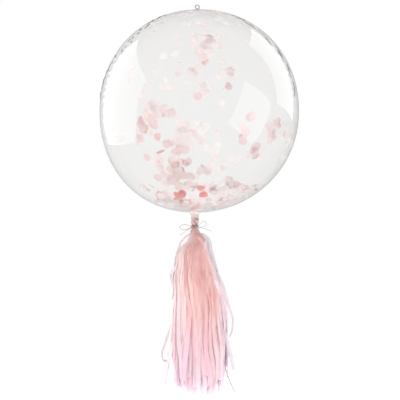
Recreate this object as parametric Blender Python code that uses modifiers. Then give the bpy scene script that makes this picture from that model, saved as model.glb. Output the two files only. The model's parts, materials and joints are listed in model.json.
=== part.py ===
"""Confetti balloon: a clear round balloon with a hanging ring on its crown and a
fringed tissue tassel tied to its neck with a thin cord bow.

Metres, +Z up. The origin is where the ring bears on what it hangs from: the
middle of the top of its hole. The ring's hole runs along Y, and the bow faces -Y.
"""

import math
import random

import bpy
import bmesh
from mathutils import Vector

# Fit between pieces that touch
GAP = 0.0003

# Hanging ring, moulded in one with its stem and foot
RING_BORE_RADIUS = 0.0042
RING_WIRE = 0.0034
RING_SEGMENTS = 20
RING_WIRE_SEGMENTS = 8
STEM_RADIUS = 0.0016
STEM_LENGTH = 0.0014
STEM_FLARE = 0.0010
FOOT_RADIUS = 0.0072
FOOT_HEIGHT = 0.0012
FOOT_EDGE = 0.0005
FOOT_SEGMENTS = 16

# Balloon
BALLOON_WIDTH = 0.600
BALLOON_HEIGHT = 0.609
BALLOON_FULLNESS = 2.08
BALLOON_SEGMENTS = 32
BALLOON_ROWS = 11
CROWN_TO_SIDE = 0.006
CROWN_RADIUS = 0.014
CROWN_FLAT_RADIUS = 0.005
PUCKER_RADIUS = 0.019

# Neck of the balloon, which ends inside the tissue
NECK_TO_SIDE = -0.0075
NECK_RADIUS = 0.0112
NECK_SHOWN = 0.0170
NECK_PLEATS = 9
NECK_PLEAT_DEPTH = 0.10
NECK_ENTRY_RADIUS = 0.0090
NECK_SQUEEZED_RADIUS = 0.0052
NECK_BELOW_TIE = 0.0070

# Cord that ties the tassel to the neck
CORD_DIAMETER = 0.0015
WRAP_TURNS = 5
WRAP_CLEARANCE = 0.0004
WRAP_POINTS_PER_TURN = 14
KNOT_WIDTH = 0.0060
KNOT_DEPTH = 0.0042
KNOT_MARGIN = 0.00035
KNOT_ROUNDING = 0.0012
KNOT_TO_SIDE = -0.0020
STRAND_CLEARANCE = 0.0005
LOOSE_CORD_STEP = 0.0042

# Head of the tassel, where the uncut bands of tissue wrap the neck
HEAD_ABOVE_TIE = 0.0255
TISSUE_AT_ROLL = 0.0032
TISSUE_AT_HEAD = 0.0024
TISSUE_AT_WAIST = 0.0038
TISSUE_AT_TRUNK = 0.0103
HEAD_ROLL_HEIGHT = 0.0050
ROLL_EDGE = 0.0008
TRUNK_BELOW_TIE = 0.0140
HEAD_TWIST = math.radians(48)
HEAD_PLEAT_DEPTH = 0.035
TRUNK_PLEAT_DEPTH = 0.055
SHEET_CORE_RADIUS = 0.0006
INNER_POINTS = 4

# Fringe of the tassel
TASSEL_DROP = 0.502
TASSEL_HALF_WIDTH = 0.102
STRIP_WIDTH = 0.0185
STRIP_THICKNESS = 0.0016
STRIP_IN_HEAD = 0.0045
STRIP_SEGMENTS = 10
STRIP_SEGMENT_GROWTH = 1.35
STRIP_TURNED_BY = 0.4
SHORTEST_TIP = 0.80
FRINGE_SWIRL = math.radians(12)
FRINGE_RIPPLE = 0.035
RIPPLES_ROUND = 5
RIPPLE_TURNS_DOWN = 2.7
MOST_FLARE = 0.22

# Rings of strips: share of the tassel's half width, strips in each sheet, share of
# its room that a strip fills, most tilt
STRIP_RINGS = (
    (0.90, 6, 0.78, math.radians(35)),
    (0.54, 3, 0.70, math.radians(50)),
    (0.24, 1, 0.55, math.radians(25)),
)

# Tissue sheets: name, middle of its quarter of the tassel, colour
SHEETS = (
    ("peach_tissue", math.radians(270), (0.93, 0.56, 0.52)),
    ("lilac_tissue", math.radians(0), (0.84, 0.62, 0.72)),
    ("pale_tissue", math.radians(90), (0.92, 0.80, 0.84)),
    ("blush_tissue", math.radians(180), (0.93, 0.66, 0.68)),
)
SHEET_SPREAD = 2 * math.pi / len(SHEETS)

# Heights, worked out from the ring down
RING_MIDDLE_Z = -RING_BORE_RADIUS
RING_BOTTOM_Z = RING_MIDDLE_Z - RING_BORE_RADIUS - RING_WIRE
FOOT_BOTTOM_Z = RING_BOTTOM_Z - STEM_LENGTH - FOOT_HEIGHT
CROWN_Z = FOOT_BOTTOM_Z - GAP
BALLOON_MIDDLE_Z = CROWN_Z - BALLOON_HEIGHT / 2
BALLOON_BOTTOM_Z = CROWN_Z - BALLOON_HEIGHT
HEAD_TOP_Z = BALLOON_BOTTOM_Z - NECK_SHOWN
TIE_Z = HEAD_TOP_Z - HEAD_ABOVE_TIE

# Sizes of the tied head, worked out from the neck, the tissue and the cord
WRAP_PITCH = CORD_DIAMETER + WRAP_CLEARANCE
HALF_WAIST = (WRAP_TURNS * WRAP_PITCH + CORD_DIAMETER) / 2
ROLL_RADIUS = NECK_ENTRY_RADIUS + TISSUE_AT_ROLL
HEAD_RADIUS = NECK_ENTRY_RADIUS + TISSUE_AT_HEAD
WAIST_RADIUS = NECK_SQUEEZED_RADIUS + TISSUE_AT_WAIST
TRUNK_RADIUS = NECK_SQUEEZED_RADIUS + TISSUE_AT_TRUNK
WRAP_INSIDE = WAIST_RADIUS * (1 + HEAD_PLEAT_DEPTH) + GAP
WRAP_RADIUS = (WRAP_INSIDE + CORD_DIAMETER / 2) / math.cos(math.pi / WRAP_POINTS_PER_TURN)
WRAP_OUTSIDE = WRAP_RADIUS + CORD_DIAMETER / 2
STRAND_SPACING = CORD_DIAMETER + STRAND_CLEARANCE
KNOT_HEIGHT = 2 * STRAND_SPACING + CORD_DIAMETER + 2 * KNOT_MARGIN
KNOT_MIDDLE = Vector((NECK_TO_SIDE + KNOT_TO_SIDE, -(WRAP_OUTSIDE + GAP + KNOT_DEPTH / 2), TIE_Z))

# Outline of the wrapped head: drop below the tie, outside radius
HEAD_OUTLINE = (
    (-HEAD_ABOVE_TIE, ROLL_RADIUS - ROLL_EDGE),
    (-HEAD_ABOVE_TIE + HEAD_ROLL_HEIGHT * 0.25, ROLL_RADIUS),
    (-HEAD_ABOVE_TIE + HEAD_ROLL_HEIGHT * 0.80, ROLL_RADIUS),
    (-HEAD_ABOVE_TIE + HEAD_ROLL_HEIGHT * 1.20, HEAD_RADIUS),
    (-HALF_WAIST * 2, HEAD_RADIUS),
    (-HALF_WAIST, WAIST_RADIUS),
    (HALF_WAIST, WAIST_RADIUS),
    (TRUNK_BELOW_TIE, TRUNK_RADIUS),
)

# Outline of the hanging fringe: share of the drop, share of the half width, and
# shift to the side as a share of the half width
FRINGE_OUTLINE = (
    (TRUNK_BELOW_TIE / TASSEL_DROP, (TRUNK_RADIUS - STRIP_THICKNESS) / TASSEL_HALF_WIDTH, 0.00),
    (0.080, 0.47, -0.02),
    (0.154, 0.59, -0.03),
    (0.297, 0.81, 0.07),
    (0.440, 0.87, 0.12),
    (0.621, 0.96, 0.09),
    (0.765, 1.00, 0.08),
    (0.900, 0.97, 0.13),
    (1.000, 0.98, 0.17),
)

# Routes of the loose cord, from the middle of the knot's face that each run leaves:
# to the side, towards the viewer and up. Three strands lie one over the other there.
UPPER, MIDDLE, LOWER = STRAND_SPACING, 0.0, -STRAND_SPACING
LEFT_LOOP = (
    (0.0000, 0.0000, UPPER),
    (-0.0050, 0.0004, 0.0022),
    (-0.0110, 0.0012, 0.0032),
    (-0.0190, 0.0024, 0.0058),
    (-0.0290, 0.0038, 0.0066),
    (-0.0370, 0.0046, 0.0036),
    (-0.0395, 0.0048, -0.0020),
    (-0.0365, 0.0044, -0.0072),
    (-0.0285, 0.0034, -0.0092),
    (-0.0190, 0.0020, -0.0080),
    (-0.0110, 0.0009, -0.0039),
    (-0.0050, 0.0002, -0.0006),
    (0.0000, 0.0000, MIDDLE),
)
LEFT_TAIL = (
    (0.0000, 0.0000, LOWER),
    (-0.0055, 0.0006, -0.0034),
    (-0.0130, 0.0016, -0.0082),
    (-0.0210, 0.0030, -0.0130),
    (-0.0300, 0.0046, -0.0190),
    (-0.0385, 0.0056, -0.0244),
)
RIGHT_LOOP = (
    (0.0000, 0.0000, MIDDLE),
    (0.0070, 0.0006, -0.0008),
    (0.0170, 0.0016, -0.0012),
    (0.0270, 0.0026, 0.0006),
    (0.0326, 0.0034, 0.0056),
    (0.0328, 0.0038, 0.0118),
    (0.0284, 0.0038, 0.0162),
    (0.0224, 0.0034, 0.0160),
    (0.0180, 0.0026, 0.0116),
    (0.0136, 0.0018, 0.0064),
    (0.0070, 0.0008, 0.0028),
    (0.0000, 0.0000, UPPER),
)
RIGHT_TAIL = (
    (0.0000, 0.0000, LOWER),
    (0.0070, 0.0002, -0.0028),
    (0.0170, 0.0006, -0.0036),
    (0.0280, 0.0014, -0.0054),
    (0.0390, 0.0026, -0.0094),
    (0.0480, 0.0036, -0.0134),
)


def clear_scene():
    """Removes what a new file holds."""
    for thing in list(bpy.data.objects):
        bpy.data.objects.remove(thing, do_unlink=True)


def new_collection(name):
    collection = bpy.data.collections.new(name)
    bpy.context.scene.collection.children.link(collection)
    return collection


def new_material(name, colour, roughness, alpha=1.0):
    """A Principled material with one plain colour."""
    material = bpy.data.materials.new(name)
    material.use_nodes = True
    shader = material.node_tree.nodes["Principled BSDF"]
    shader.inputs["Base Color"].default_value = (*colour, 1.0)
    shader.inputs["Roughness"].default_value = roughness
    shader.inputs["Metallic"].default_value = 0.0
    shader.inputs["Alpha"].default_value = alpha
    return material


def object_from_mesh(name, mesh, collection, material=None):
    thing = bpy.data.objects.new(name, mesh)
    collection.objects.link(thing)
    if material is not None:
        mesh.materials.append(material)
    return thing


def as_guide(thing):
    """Marks an object that only shapes another one."""
    thing.hide_render = True
    thing.display_type = "WIRE"
    return thing


def join_with(thing, other):
    """Adds the shape of other to thing."""
    union = thing.modifiers.new("Join " + other.name, "BOOLEAN")
    union.operation = "UNION"
    union.object = other


def smooth_value(stations, column, at):
    """Value of one column of the stations at a place, on a smooth curve through them."""
    if at <= stations[0][0]:
        return stations[0][column]
    if at >= stations[-1][0]:
        return stations[-1][column]

    def slope(i):
        low = stations[max(i - 1, 0)]
        high = stations[min(i + 1, len(stations) - 1)]
        return (high[column] - low[column]) / (high[0] - low[0])

    i = max(k for k in range(len(stations) - 1) if stations[k][0] <= at)
    a, b = stations[i], stations[i + 1]
    span = b[0] - a[0]
    t = (at - a[0]) / span
    start_slope, end_slope = slope(i) * span, slope(i + 1) * span
    return (
        (2 * t**3 - 3 * t**2 + 1) * a[column]
        + (t**3 - 2 * t**2 + t) * start_slope
        + (3 * t**2 - 2 * t**3) * b[column]
        + (t**3 - t**2) * end_slope
    )


def straight_value(stations, at):
    """Value at a place, on straight lines between the stations."""
    for (start, low), (end, high) in zip(stations, stations[1:]):
        if at <= end:
            return low + (high - low) * max(at - start, 0.0) / (end - start)
    return stations[-1][1]


def round_points(radius, to_side, z, count, pleats=0, depth=0.0):
    """Points of a level circle, which may be pleated."""
    points = []
    for i in range(count):
        angle = 2 * math.pi * i / count
        reach = radius * (1 + depth * math.cos(pleats * angle))
        points.append(Vector((to_side + reach * math.cos(angle), reach * math.sin(angle), z)))
    return points


def loft(name, rings, split=False):
    """A closed mesh that joins rings with the same number of points, from the top
    ring down. Seen from above, each ring's points go anticlockwise.

    With split, each four-sided face becomes two triangles, and the last face of a row
    is cut the other way, so that it lies flat against the first side of a neighbour.
    """
    build = bmesh.new()
    rows = [[build.verts.new(point) for point in ring] for ring in rings]
    count = len(rings[0])
    for upper, lower in zip(rows, rows[1:]):
        for i in range(count):
            j = (i + 1) % count
            if not split:
                build.faces.new((upper[i], lower[i], lower[j], upper[j]))
            elif j:
                build.faces.new((upper[i], lower[i], lower[j]))
                build.faces.new((upper[i], lower[j], upper[j]))
            else:
                build.faces.new((upper[i], lower[i], upper[j]))
                build.faces.new((lower[i], lower[j], upper[j]))
    build.faces.new(rows[0])
    build.faces.new(list(reversed(rows[-1])))
    bmesh.ops.recalc_face_normals(build, faces=build.faces)
    mesh = bpy.data.meshes.new(name)
    build.to_mesh(mesh)
    build.free()
    return mesh


def make_hanging_ring(collection, guides, material):
    """The ring, with its stem and the flared foot that sits on the crown."""
    half_wire = RING_WIRE / 2
    bpy.ops.mesh.primitive_torus_add(
        major_radius=RING_BORE_RADIUS + half_wire,
        minor_radius=half_wire,
        major_segments=RING_SEGMENTS,
        minor_segments=RING_WIRE_SEGMENTS,
        location=(0, 0, RING_MIDDLE_Z),
        rotation=(math.radians(90), 0, 0),
    )
    ring = bpy.context.active_object
    ring.name = "hanging_ring"
    for home in list(ring.users_collection):
        home.objects.unlink(ring)
    collection.objects.link(ring)
    ring.data.materials.append(material)

    stem_top_z = RING_BOTTOM_Z + half_wire
    foot_top_z = FOOT_BOTTOM_Z + FOOT_HEIGHT
    profile = (
        (0.0, stem_top_z),
        (STEM_RADIUS, stem_top_z),
        (STEM_RADIUS, foot_top_z + STEM_LENGTH / 3),
        (STEM_RADIUS + STEM_FLARE, foot_top_z),
        ((STEM_RADIUS + STEM_FLARE + FOOT_RADIUS) / 2, FOOT_BOTTOM_Z + (FOOT_HEIGHT + FOOT_EDGE) / 2),
        (FOOT_RADIUS, FOOT_BOTTOM_Z + FOOT_EDGE),
        (FOOT_RADIUS, FOOT_BOTTOM_Z),
        (0.0, FOOT_BOTTOM_Z),
    )
    points = [(radius, 0, z) for radius, z in profile]
    mesh = bpy.data.meshes.new("stem_and_foot")
    mesh.from_pydata(points, [(i, i + 1) for i in range(len(points) - 1)], [])
    stem = as_guide(object_from_mesh("stem_and_foot", mesh, guides))
    turn = stem.modifiers.new("Turn", "SCREW")
    turn.steps = FOOT_SEGMENTS
    turn.render_steps = FOOT_SEGMENTS
    turn.use_merge_vertices = True
    turn.merge_threshold = 0.00001
    join_with(ring, stem)


def neck_radius(drop):
    """Radius of the balloon's neck inside the tissue, at a drop below the tie."""
    stations = (
        (-HEAD_ABOVE_TIE, NECK_ENTRY_RADIUS),
        (-HALF_WAIST, NECK_SQUEEZED_RADIUS),
        (NECK_BELOW_TIE, NECK_SQUEEZED_RADIUS),
    )
    return smooth_value(stations, 1, drop)


def balloon_row(turn):
    """A row of the balloon at an angle from the crown. The outline is a little fuller
    than an ellipse, and its lower half leans towards the neck."""
    power = 2 / BALLOON_FULLNESS
    radius = BALLOON_WIDTH / 2 * math.sin(turn) ** power
    rise = math.copysign(abs(math.cos(turn)) ** power, math.cos(turn))
    lean = (NECK_TO_SIDE - CROWN_TO_SIDE) * min(rise, 0.0) ** 2
    z = BALLOON_MIDDLE_Z + BALLOON_HEIGHT / 2 * rise
    return round_points(radius, CROWN_TO_SIDE + lean, z, BALLOON_SEGMENTS)


def turn_at_radius(radius):
    """Angle from the crown at which the balloon's upper half has this radius."""
    return math.asin((2 * radius / BALLOON_WIDTH) ** (BALLOON_FULLNESS / 2))


def make_balloon(collection, material):
    """The blown film as one full solid, with its pleated neck below."""
    quarter = math.pi / 2
    first = turn_at_radius(CROWN_RADIUS)
    last = math.pi - turn_at_radius(PUCKER_RADIUS)
    rings = [round_points(CROWN_FLAT_RADIUS, CROWN_TO_SIDE, CROWN_Z, BALLOON_SEGMENTS)]
    for i in range(BALLOON_ROWS):
        rings.append(balloon_row(first + (quarter - first) * i / BALLOON_ROWS))
    for i in range(BALLOON_ROWS + 1):
        rings.append(balloon_row(quarter + (last - quarter) * i / BALLOON_ROWS))

    # Rows of the neck that show: share of its shown length, swell, share of the pleats
    for share, swell, pleated in ((0.12, 1.18, 0.5), (0.35, 1.0, 1.0), (0.75, 1.0, 1.0)):
        z = BALLOON_BOTTOM_Z - NECK_SHOWN * share
        depth = pleated * NECK_PLEAT_DEPTH
        radius = NECK_RADIUS * swell
        rings.append(round_points(radius, NECK_TO_SIDE, z, BALLOON_SEGMENTS, NECK_PLEATS, depth))
    covered = [drop for drop, _ in HEAD_OUTLINE if drop < 0]
    for drop in covered + [NECK_BELOW_TIE]:
        rings.append(round_points(neck_radius(drop), NECK_TO_SIDE, TIE_Z - drop, BALLOON_SEGMENTS))

    mesh = loft("balloon", rings)
    mesh.shade_smooth()
    mesh.set_sharp_from_angle(angle=math.radians(50))
    object_from_mesh("balloon", mesh, collection, material)


def head_twist(drop):
    """Angle by which the wrapped tissue has turned, at a drop below the tie."""
    above_trunk = max(0.0, TRUNK_BELOW_TIE - drop)
    return HEAD_TWIST * above_trunk / (TRUNK_BELOW_TIE + HEAD_ABOVE_TIE)


def sheet_head_mesh(name, middle_angle):
    """The wrapped part of one tissue sheet: a pleated quarter of the head, from its
    rolled top edge, through the waist, to the trunk that the strips hang from."""
    outer_points = 2 * STRIP_RINGS[0][1] + 1
    core_drop = NECK_BELOW_TIE + GAP
    core_closed = core_drop + (TRUNK_BELOW_TIE - core_drop) / 3
    drops = [drop for drop, _ in HEAD_OUTLINE[:-1]]
    rings = []
    for drop in drops + [core_drop, core_closed, TRUNK_BELOW_TIE]:
        outside = straight_value(HEAD_OUTLINE, drop)
        depth = TRUNK_PLEAT_DEPTH if drop > HALF_WAIST else HEAD_PLEAT_DEPTH
        inside = neck_radius(drop) + 2 * GAP if drop <= core_drop else SHEET_CORE_RADIUS
        polar = []
        for i in range(outer_points):
            crest = 1 if i % 2 else -1
            polar.append((i / (outer_points - 1) - 0.5, outside, 1 + depth * crest))
        for i in range(INNER_POINTS):
            polar.append((0.5 - i / (INNER_POINTS - 1), inside, 1))
        ring = []
        for share, radius, pleat in polar:
            angle = middle_angle + head_twist(drop) + share * (SHEET_SPREAD - GAP / radius)
            reach = radius * pleat
            ring.append(
                Vector((NECK_TO_SIDE + reach * math.cos(angle), reach * math.sin(angle), TIE_Z - drop))
            )
        rings.append(ring)
    return loft(name, rings, split=True)


def fringe_half_width(drop):
    """Half width of the bundle of strips, at a drop below the tie."""
    if drop < TRUNK_BELOW_TIE:
        return straight_value(HEAD_OUTLINE, drop) - STRIP_THICKNESS
    return TASSEL_HALF_WIDTH * smooth_value(FRINGE_OUTLINE, 1, drop / TASSEL_DROP)


def fringe_middle(drop):
    """Middle of the bundle of strips, at a drop below the tie."""
    shift = TASSEL_HALF_WIDTH * smooth_value(FRINGE_OUTLINE, 2, drop / TASSEL_DROP)
    return Vector((NECK_TO_SIDE + shift, 0.0, TIE_Z - drop))


def strip_middle(drop, angle, share, flare, tip):
    """Middle of one strip, at a drop below the tie."""
    place = drop / TASSEL_DROP
    phase = RIPPLES_ROUND * angle + 2 * math.pi * RIPPLE_TURNS_DOWN * place
    ripple = FRINGE_RIPPLE * place * math.sin(phase)
    reach = share * fringe_half_width(drop) * (1 + flare * (drop / tip) ** 3 + ripple)
    turned = angle + FRINGE_SWIRL * place + ripple + head_twist(drop)
    return fringe_middle(drop) + Vector((reach * math.cos(turned), reach * math.sin(turned), 0.0))


def add_strip(build, angle, share, crowd, filled, tilt, flare, tip):
    """One strip of the fringe as an open ribbon, narrow where it is gathered."""
    hanging = tip - TRUNK_BELOW_TIE
    drops = [TRUNK_BELOW_TIE - STRIP_IN_HEAD]
    for i in range(STRIP_SEGMENTS):
        along = (i / (STRIP_SEGMENTS - 1)) ** STRIP_SEGMENT_GROWTH
        drops.append(TRUNK_BELOW_TIE + hanging * along)
    rows = []
    for drop in drops:
        here = strip_middle(drop, angle, share, flare, tip)
        below = strip_middle(drop + STRIP_THICKNESS, angle, share, flare, tip)
        down = (below - here).normalized()
        from_middle = here - fringe_middle(drop)
        sideways = down.cross(from_middle).normalized()
        facing = sideways.cross(down).normalized()
        turn = tilt * min(1.0, max(0.0, (drop - TRUNK_BELOW_TIE) / (STRIP_TURNED_BY * tip)))
        across = sideways * math.cos(turn) + facing * math.sin(turn)
        room = 2 * math.pi * from_middle.length / crowd
        width = min(STRIP_WIDTH, filled * room)
        rows.append([build.verts.new(here + across * width * side) for side in (-0.5, 0.5)])
    for upper, lower in zip(rows, rows[1:]):
        build.faces.new((upper[0], lower[0], lower[1], upper[1]))


def make_tissue_sheet(collection, guides, name, middle_angle, material, seed):
    """One tissue sheet: its wrapped head with the strips of its fringe joined on."""
    chance = random.Random(seed)
    build = bmesh.new()
    for share, count, filled, most_tilt in STRIP_RINGS:
        crowd = count * len(SHEETS)
        for i in range(count):
            angle = middle_angle + (i - (count - 1) / 2) * SHEET_SPREAD / count
            tip = TASSEL_DROP * (1 - (1 - SHORTEST_TIP) * chance.random() ** 2)
            flare = MOST_FLARE * chance.random() ** 2
            tilt = chance.uniform(-most_tilt, most_tilt)
            add_strip(build, angle, share, crowd, filled, tilt, flare, tip)
    mesh = bpy.data.meshes.new(name + "_strips")
    build.to_mesh(mesh)
    build.free()
    strips = as_guide(object_from_mesh(name + "_strips", mesh, guides))
    thicken = strips.modifiers.new("Thickness", "SOLIDIFY")
    thicken.thickness = STRIP_THICKNESS
    thicken.offset = 0.0
    sheet = object_from_mesh(name, sheet_head_mesh(name, middle_angle), collection, material)
    join_with(sheet, strips)


def cord_curve(name, points, collection, material):
    """A tube of the cord's own thickness along the points."""
    curve = bpy.data.curves.new(name, "CURVE")
    curve.dimensions = "3D"
    curve.bevel_depth = CORD_DIAMETER / 2
    curve.bevel_resolution = 1
    curve.use_fill_caps = True
    spline = curve.splines.new("POLY")
    spline.points.add(len(points) - 1)
    for slot, point in zip(spline.points, points):
        slot.co = (*point, 1.0)
    curve.materials.append(material)
    collection.objects.link(bpy.data.objects.new(name, curve))


def make_cord_wraps(collection, material):
    """The turns of cord round the waist. Both ends are behind the knot."""
    points = []
    for i in range(WRAP_TURNS * WRAP_POINTS_PER_TURN + 1):
        turns = i / WRAP_POINTS_PER_TURN
        angle = 2 * math.pi * turns - math.pi / 2
        x = NECK_TO_SIDE + WRAP_RADIUS * math.cos(angle)
        y = WRAP_RADIUS * math.sin(angle)
        points.append(Vector((x, y, TIE_Z + (WRAP_TURNS / 2 - turns) * WRAP_PITCH)))
    cord_curve("cord_wraps", points, collection, material)


def make_bow_knot(collection, material):
    """The pulled knot of the bow, in front of the turns of cord."""
    build = bmesh.new()
    bmesh.ops.create_cube(build, size=1.0)
    bmesh.ops.scale(build, vec=(KNOT_WIDTH, KNOT_DEPTH, KNOT_HEIGHT), verts=build.verts)
    bmesh.ops.translate(build, vec=KNOT_MIDDLE, verts=build.verts)
    mesh = bpy.data.meshes.new("bow_knot")
    build.to_mesh(mesh)
    build.free()
    knot = object_from_mesh("bow_knot", mesh, collection, material)
    rounding = knot.modifiers.new("Rounding", "BEVEL")
    rounding.width = KNOT_ROUNDING
    rounding.segments = 2


def smooth_route(stations):
    """Points a step apart on a smooth curve through the stations."""
    pieces = 16
    fine = []
    for i in range(len(stations) - 1):
        before = stations[max(i - 1, 0)]
        start, end = stations[i], stations[i + 1]
        after = stations[min(i + 2, len(stations) - 1)]
        for k in range(pieces):
            t = k / pieces
            bend = 2 * start + (end - before) * t
            bend += (2 * before - 5 * start + 4 * end - after) * t**2
            bend += (3 * start - before - 3 * end + after) * t**3
            fine.append(bend / 2)
    fine.append(stations[-1])
    lengths = [0.0]
    for a, b in zip(fine, fine[1:]):
        lengths.append(lengths[-1] + (b - a).length)
    steps = round(lengths[-1] / LOOSE_CORD_STEP)
    route = []
    at = 0
    for i in range(steps + 1):
        target = lengths[-1] * i / steps
        while at < len(fine) - 2 and lengths[at + 1] < target:
            at += 1
        share = (target - lengths[at]) / (lengths[at + 1] - lengths[at])
        route.append(fine[at].lerp(fine[at + 1], share))
    return route


def make_loose_cord(name, route, side, collection, material):
    """One loop or tail of the bow, leaving the knot's left or right face."""
    face = KNOT_MIDDLE + Vector((side * (KNOT_WIDTH / 2 + GAP), 0, 0))
    stations = [face + Vector((x, -towards, up)) for x, towards, up in route]
    cord_curve(name, smooth_route(stations), collection, material)


def main():
    clear_scene()
    parts = new_collection("confetti_balloon")
    guides = new_collection("guides")

    film = new_material("clear_film", (0.93, 0.94, 0.95), 0.05, alpha=0.3)
    ring_plastic = new_material("ring_plastic", (0.42, 0.42, 0.41), 0.35)
    cord = new_material("grey_cord", (0.36, 0.37, 0.35), 0.7)

    make_hanging_ring(parts, guides, ring_plastic)
    make_balloon(parts, film)
    for number, (name, middle_angle, colour) in enumerate(SHEETS):
        tissue = new_material(name, colour, 0.85)
        make_tissue_sheet(parts, guides, name, middle_angle, tissue, seed=number + 1)
    make_cord_wraps(parts, cord)
    make_bow_knot(parts, cord)
    make_loose_cord("left_loop", LEFT_LOOP, -1, parts, cord)
    make_loose_cord("left_tail", LEFT_TAIL, -1, parts, cord)
    make_loose_cord("right_loop", RIGHT_LOOP, 1, parts, cord)
    make_loose_cord("right_tail", RIGHT_TAIL, 1, parts, cord)


main()
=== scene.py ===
import json
import math
import random

import bmesh
import bpy
from bpy.props import FloatProperty, FloatVectorProperty, IntProperty, PointerProperty
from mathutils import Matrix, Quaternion, Vector

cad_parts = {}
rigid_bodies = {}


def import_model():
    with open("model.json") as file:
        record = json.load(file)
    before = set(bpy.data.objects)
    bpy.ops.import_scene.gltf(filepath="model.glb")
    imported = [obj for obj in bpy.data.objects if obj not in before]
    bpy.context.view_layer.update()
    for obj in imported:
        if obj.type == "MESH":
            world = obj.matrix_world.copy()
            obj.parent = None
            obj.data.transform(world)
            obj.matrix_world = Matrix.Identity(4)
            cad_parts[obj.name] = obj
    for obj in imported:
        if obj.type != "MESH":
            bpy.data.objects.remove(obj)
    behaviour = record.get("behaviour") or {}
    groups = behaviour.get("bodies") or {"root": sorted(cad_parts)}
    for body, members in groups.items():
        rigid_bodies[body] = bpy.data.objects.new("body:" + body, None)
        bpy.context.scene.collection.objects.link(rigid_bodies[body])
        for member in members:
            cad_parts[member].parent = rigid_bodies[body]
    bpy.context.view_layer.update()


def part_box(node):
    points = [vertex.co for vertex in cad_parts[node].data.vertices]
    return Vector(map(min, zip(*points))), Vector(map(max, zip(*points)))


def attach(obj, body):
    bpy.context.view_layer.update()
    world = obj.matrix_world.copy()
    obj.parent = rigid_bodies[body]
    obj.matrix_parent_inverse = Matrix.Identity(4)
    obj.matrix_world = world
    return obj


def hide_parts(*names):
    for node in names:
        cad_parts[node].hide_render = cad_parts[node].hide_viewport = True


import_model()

bl_info = {
    "name": "Confetti balloon",
    "version": (1, 0, 0),
    "blender": (4, 5, 0),
    "location": "3D View > Sidebar > Balloon",
    "description": "A clear balloon of paper confetti with a hanging ring and a tissue tassel",
    "category": "Add Mesh",
}

BODY = "root"

# Places that come from the solids
FILM_LOW, FILM_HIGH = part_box("balloon")
WRAPS_LOW, WRAPS_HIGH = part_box("cord_wraps")
KNOT_LOW, KNOT_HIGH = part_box("bow_knot")
RING_LOW, RING_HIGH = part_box("hanging_ring")
CROWN_Z = FILM_HIGH.z
FILM_END_Z = FILM_LOW.z
HEAD_TOP_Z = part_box("peach_tissue")[1].z
TIE_Z = (WRAPS_LOW.z + WRAPS_HIGH.z) / 2
KNOT_MIDDLE = (KNOT_LOW + KNOT_HIGH) / 2

# Balloon
CROWN_TO_SIDE = 0.006
CROWN_FLAT_RADIUS = 0.005
NECK_TO_SIDE = -0.0075
NECK_RADIUS = 0.0112
NECK_SHOWN = 0.0170
NECK_ENTRY_RADIUS = 0.0090
NECK_SQUEEZED_RADIUS = 0.0052
NECK_CREASES = 17
# Share of the neck's height, share of its radius, depth of its creases
NECK_STATIONS = (
    (0.03, 1.46, 0.08),
    (0.08, 1.36, 0.10),
    (0.16, 1.20, 0.13),
    (0.28, 1.08, 0.15),
    (0.45, 1.00, 0.16),
    (0.65, 0.97, 0.17),
    (0.88, 0.95, 0.15),
)
CROWN_CREASES = 23
NECK_TOP_RADIUS = 0.0170
FILM_IOR = 1.46
FILM_RIPPLE = 0.00022

# Wrinkles along the seam: where they are in front of the middle, their reach and depth
SEAM_AHEAD = 0.085
SEAM_REACH = 0.026
SEAM_PUCKER = 0.0011

# Points round the film, and its rows above the widest place, below it and in the tassel
FILM_POINTS = 168
ROWS_ABOVE = 136
ROWS_BELOW = 60
ROWS_WRAPPED = 12

# Creases beside the welded seam on each side: the seam's place in front of the middle
# at angles from the crown in degrees, then the side, creases, length and depth
SEAM_RUNS = (
    (
        (
            (22, -0.060), (30, -0.078), (41, -0.106), (53, -0.118),
            (61, -0.090), (71, -0.045), (84, -0.030),
        ),
        -1, 24, 0.015, 0.0030,
    ),
    (
        ((22, -0.060), (30, -0.085), (44, -0.112), (57, -0.102), (70, -0.095), (82, -0.090)),
        1, 13, 0.030, 0.0024,
    ),
)
CREASE_ROWS = 9
CREASE_FLATNESS = 0.32

# Head of the tassel
HEAD_ABOVE_TIE = HEAD_TOP_Z - TIE_Z
TRUNK_BELOW_TIE = 0.0140
HALF_WAIST = 0.0055
ROLL_RADIUS = 0.0122
HEAD_RADIUS = 0.0114
WAIST_RADIUS = 0.0090
TRUNK_RADIUS = 0.0155
ROLL_HEIGHT = 0.0050
HEAD_TWIST = math.radians(48)
HEAD_OUTLINE = (
    (-HEAD_ABOVE_TIE, ROLL_RADIUS - 0.0008),
    (-HEAD_ABOVE_TIE + ROLL_HEIGHT * 0.25, ROLL_RADIUS),
    (-HEAD_ABOVE_TIE + ROLL_HEIGHT * 0.80, ROLL_RADIUS),
    (-HEAD_ABOVE_TIE + ROLL_HEIGHT * 1.20, HEAD_RADIUS),
    (-HALF_WAIST * 2, HEAD_RADIUS),
    (-HALF_WAIST, WAIST_RADIUS),
    (HALF_WAIST, WAIST_RADIUS),
    (TRUNK_BELOW_TIE, TRUNK_RADIUS),
)

# Folds of the wrapped tissue: share of the most depth, waves across it, their slope
HEAD_FOLDS = ((0.30, 26, 120), (0.22, 47, -160), (0.16, 13, 300))
HEAD_FOLD_DEPTH = 0.0011
HEAD_ROW_STEP = 0.0014
HEAD_TO_NECK = 0.0007
HEAD_CORE_RADIUS = 0.0008
SHEET_GAP = 0.0003
HEAD_OUTER_POINTS = 33
HEAD_INNER_POINTS = 5

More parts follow.
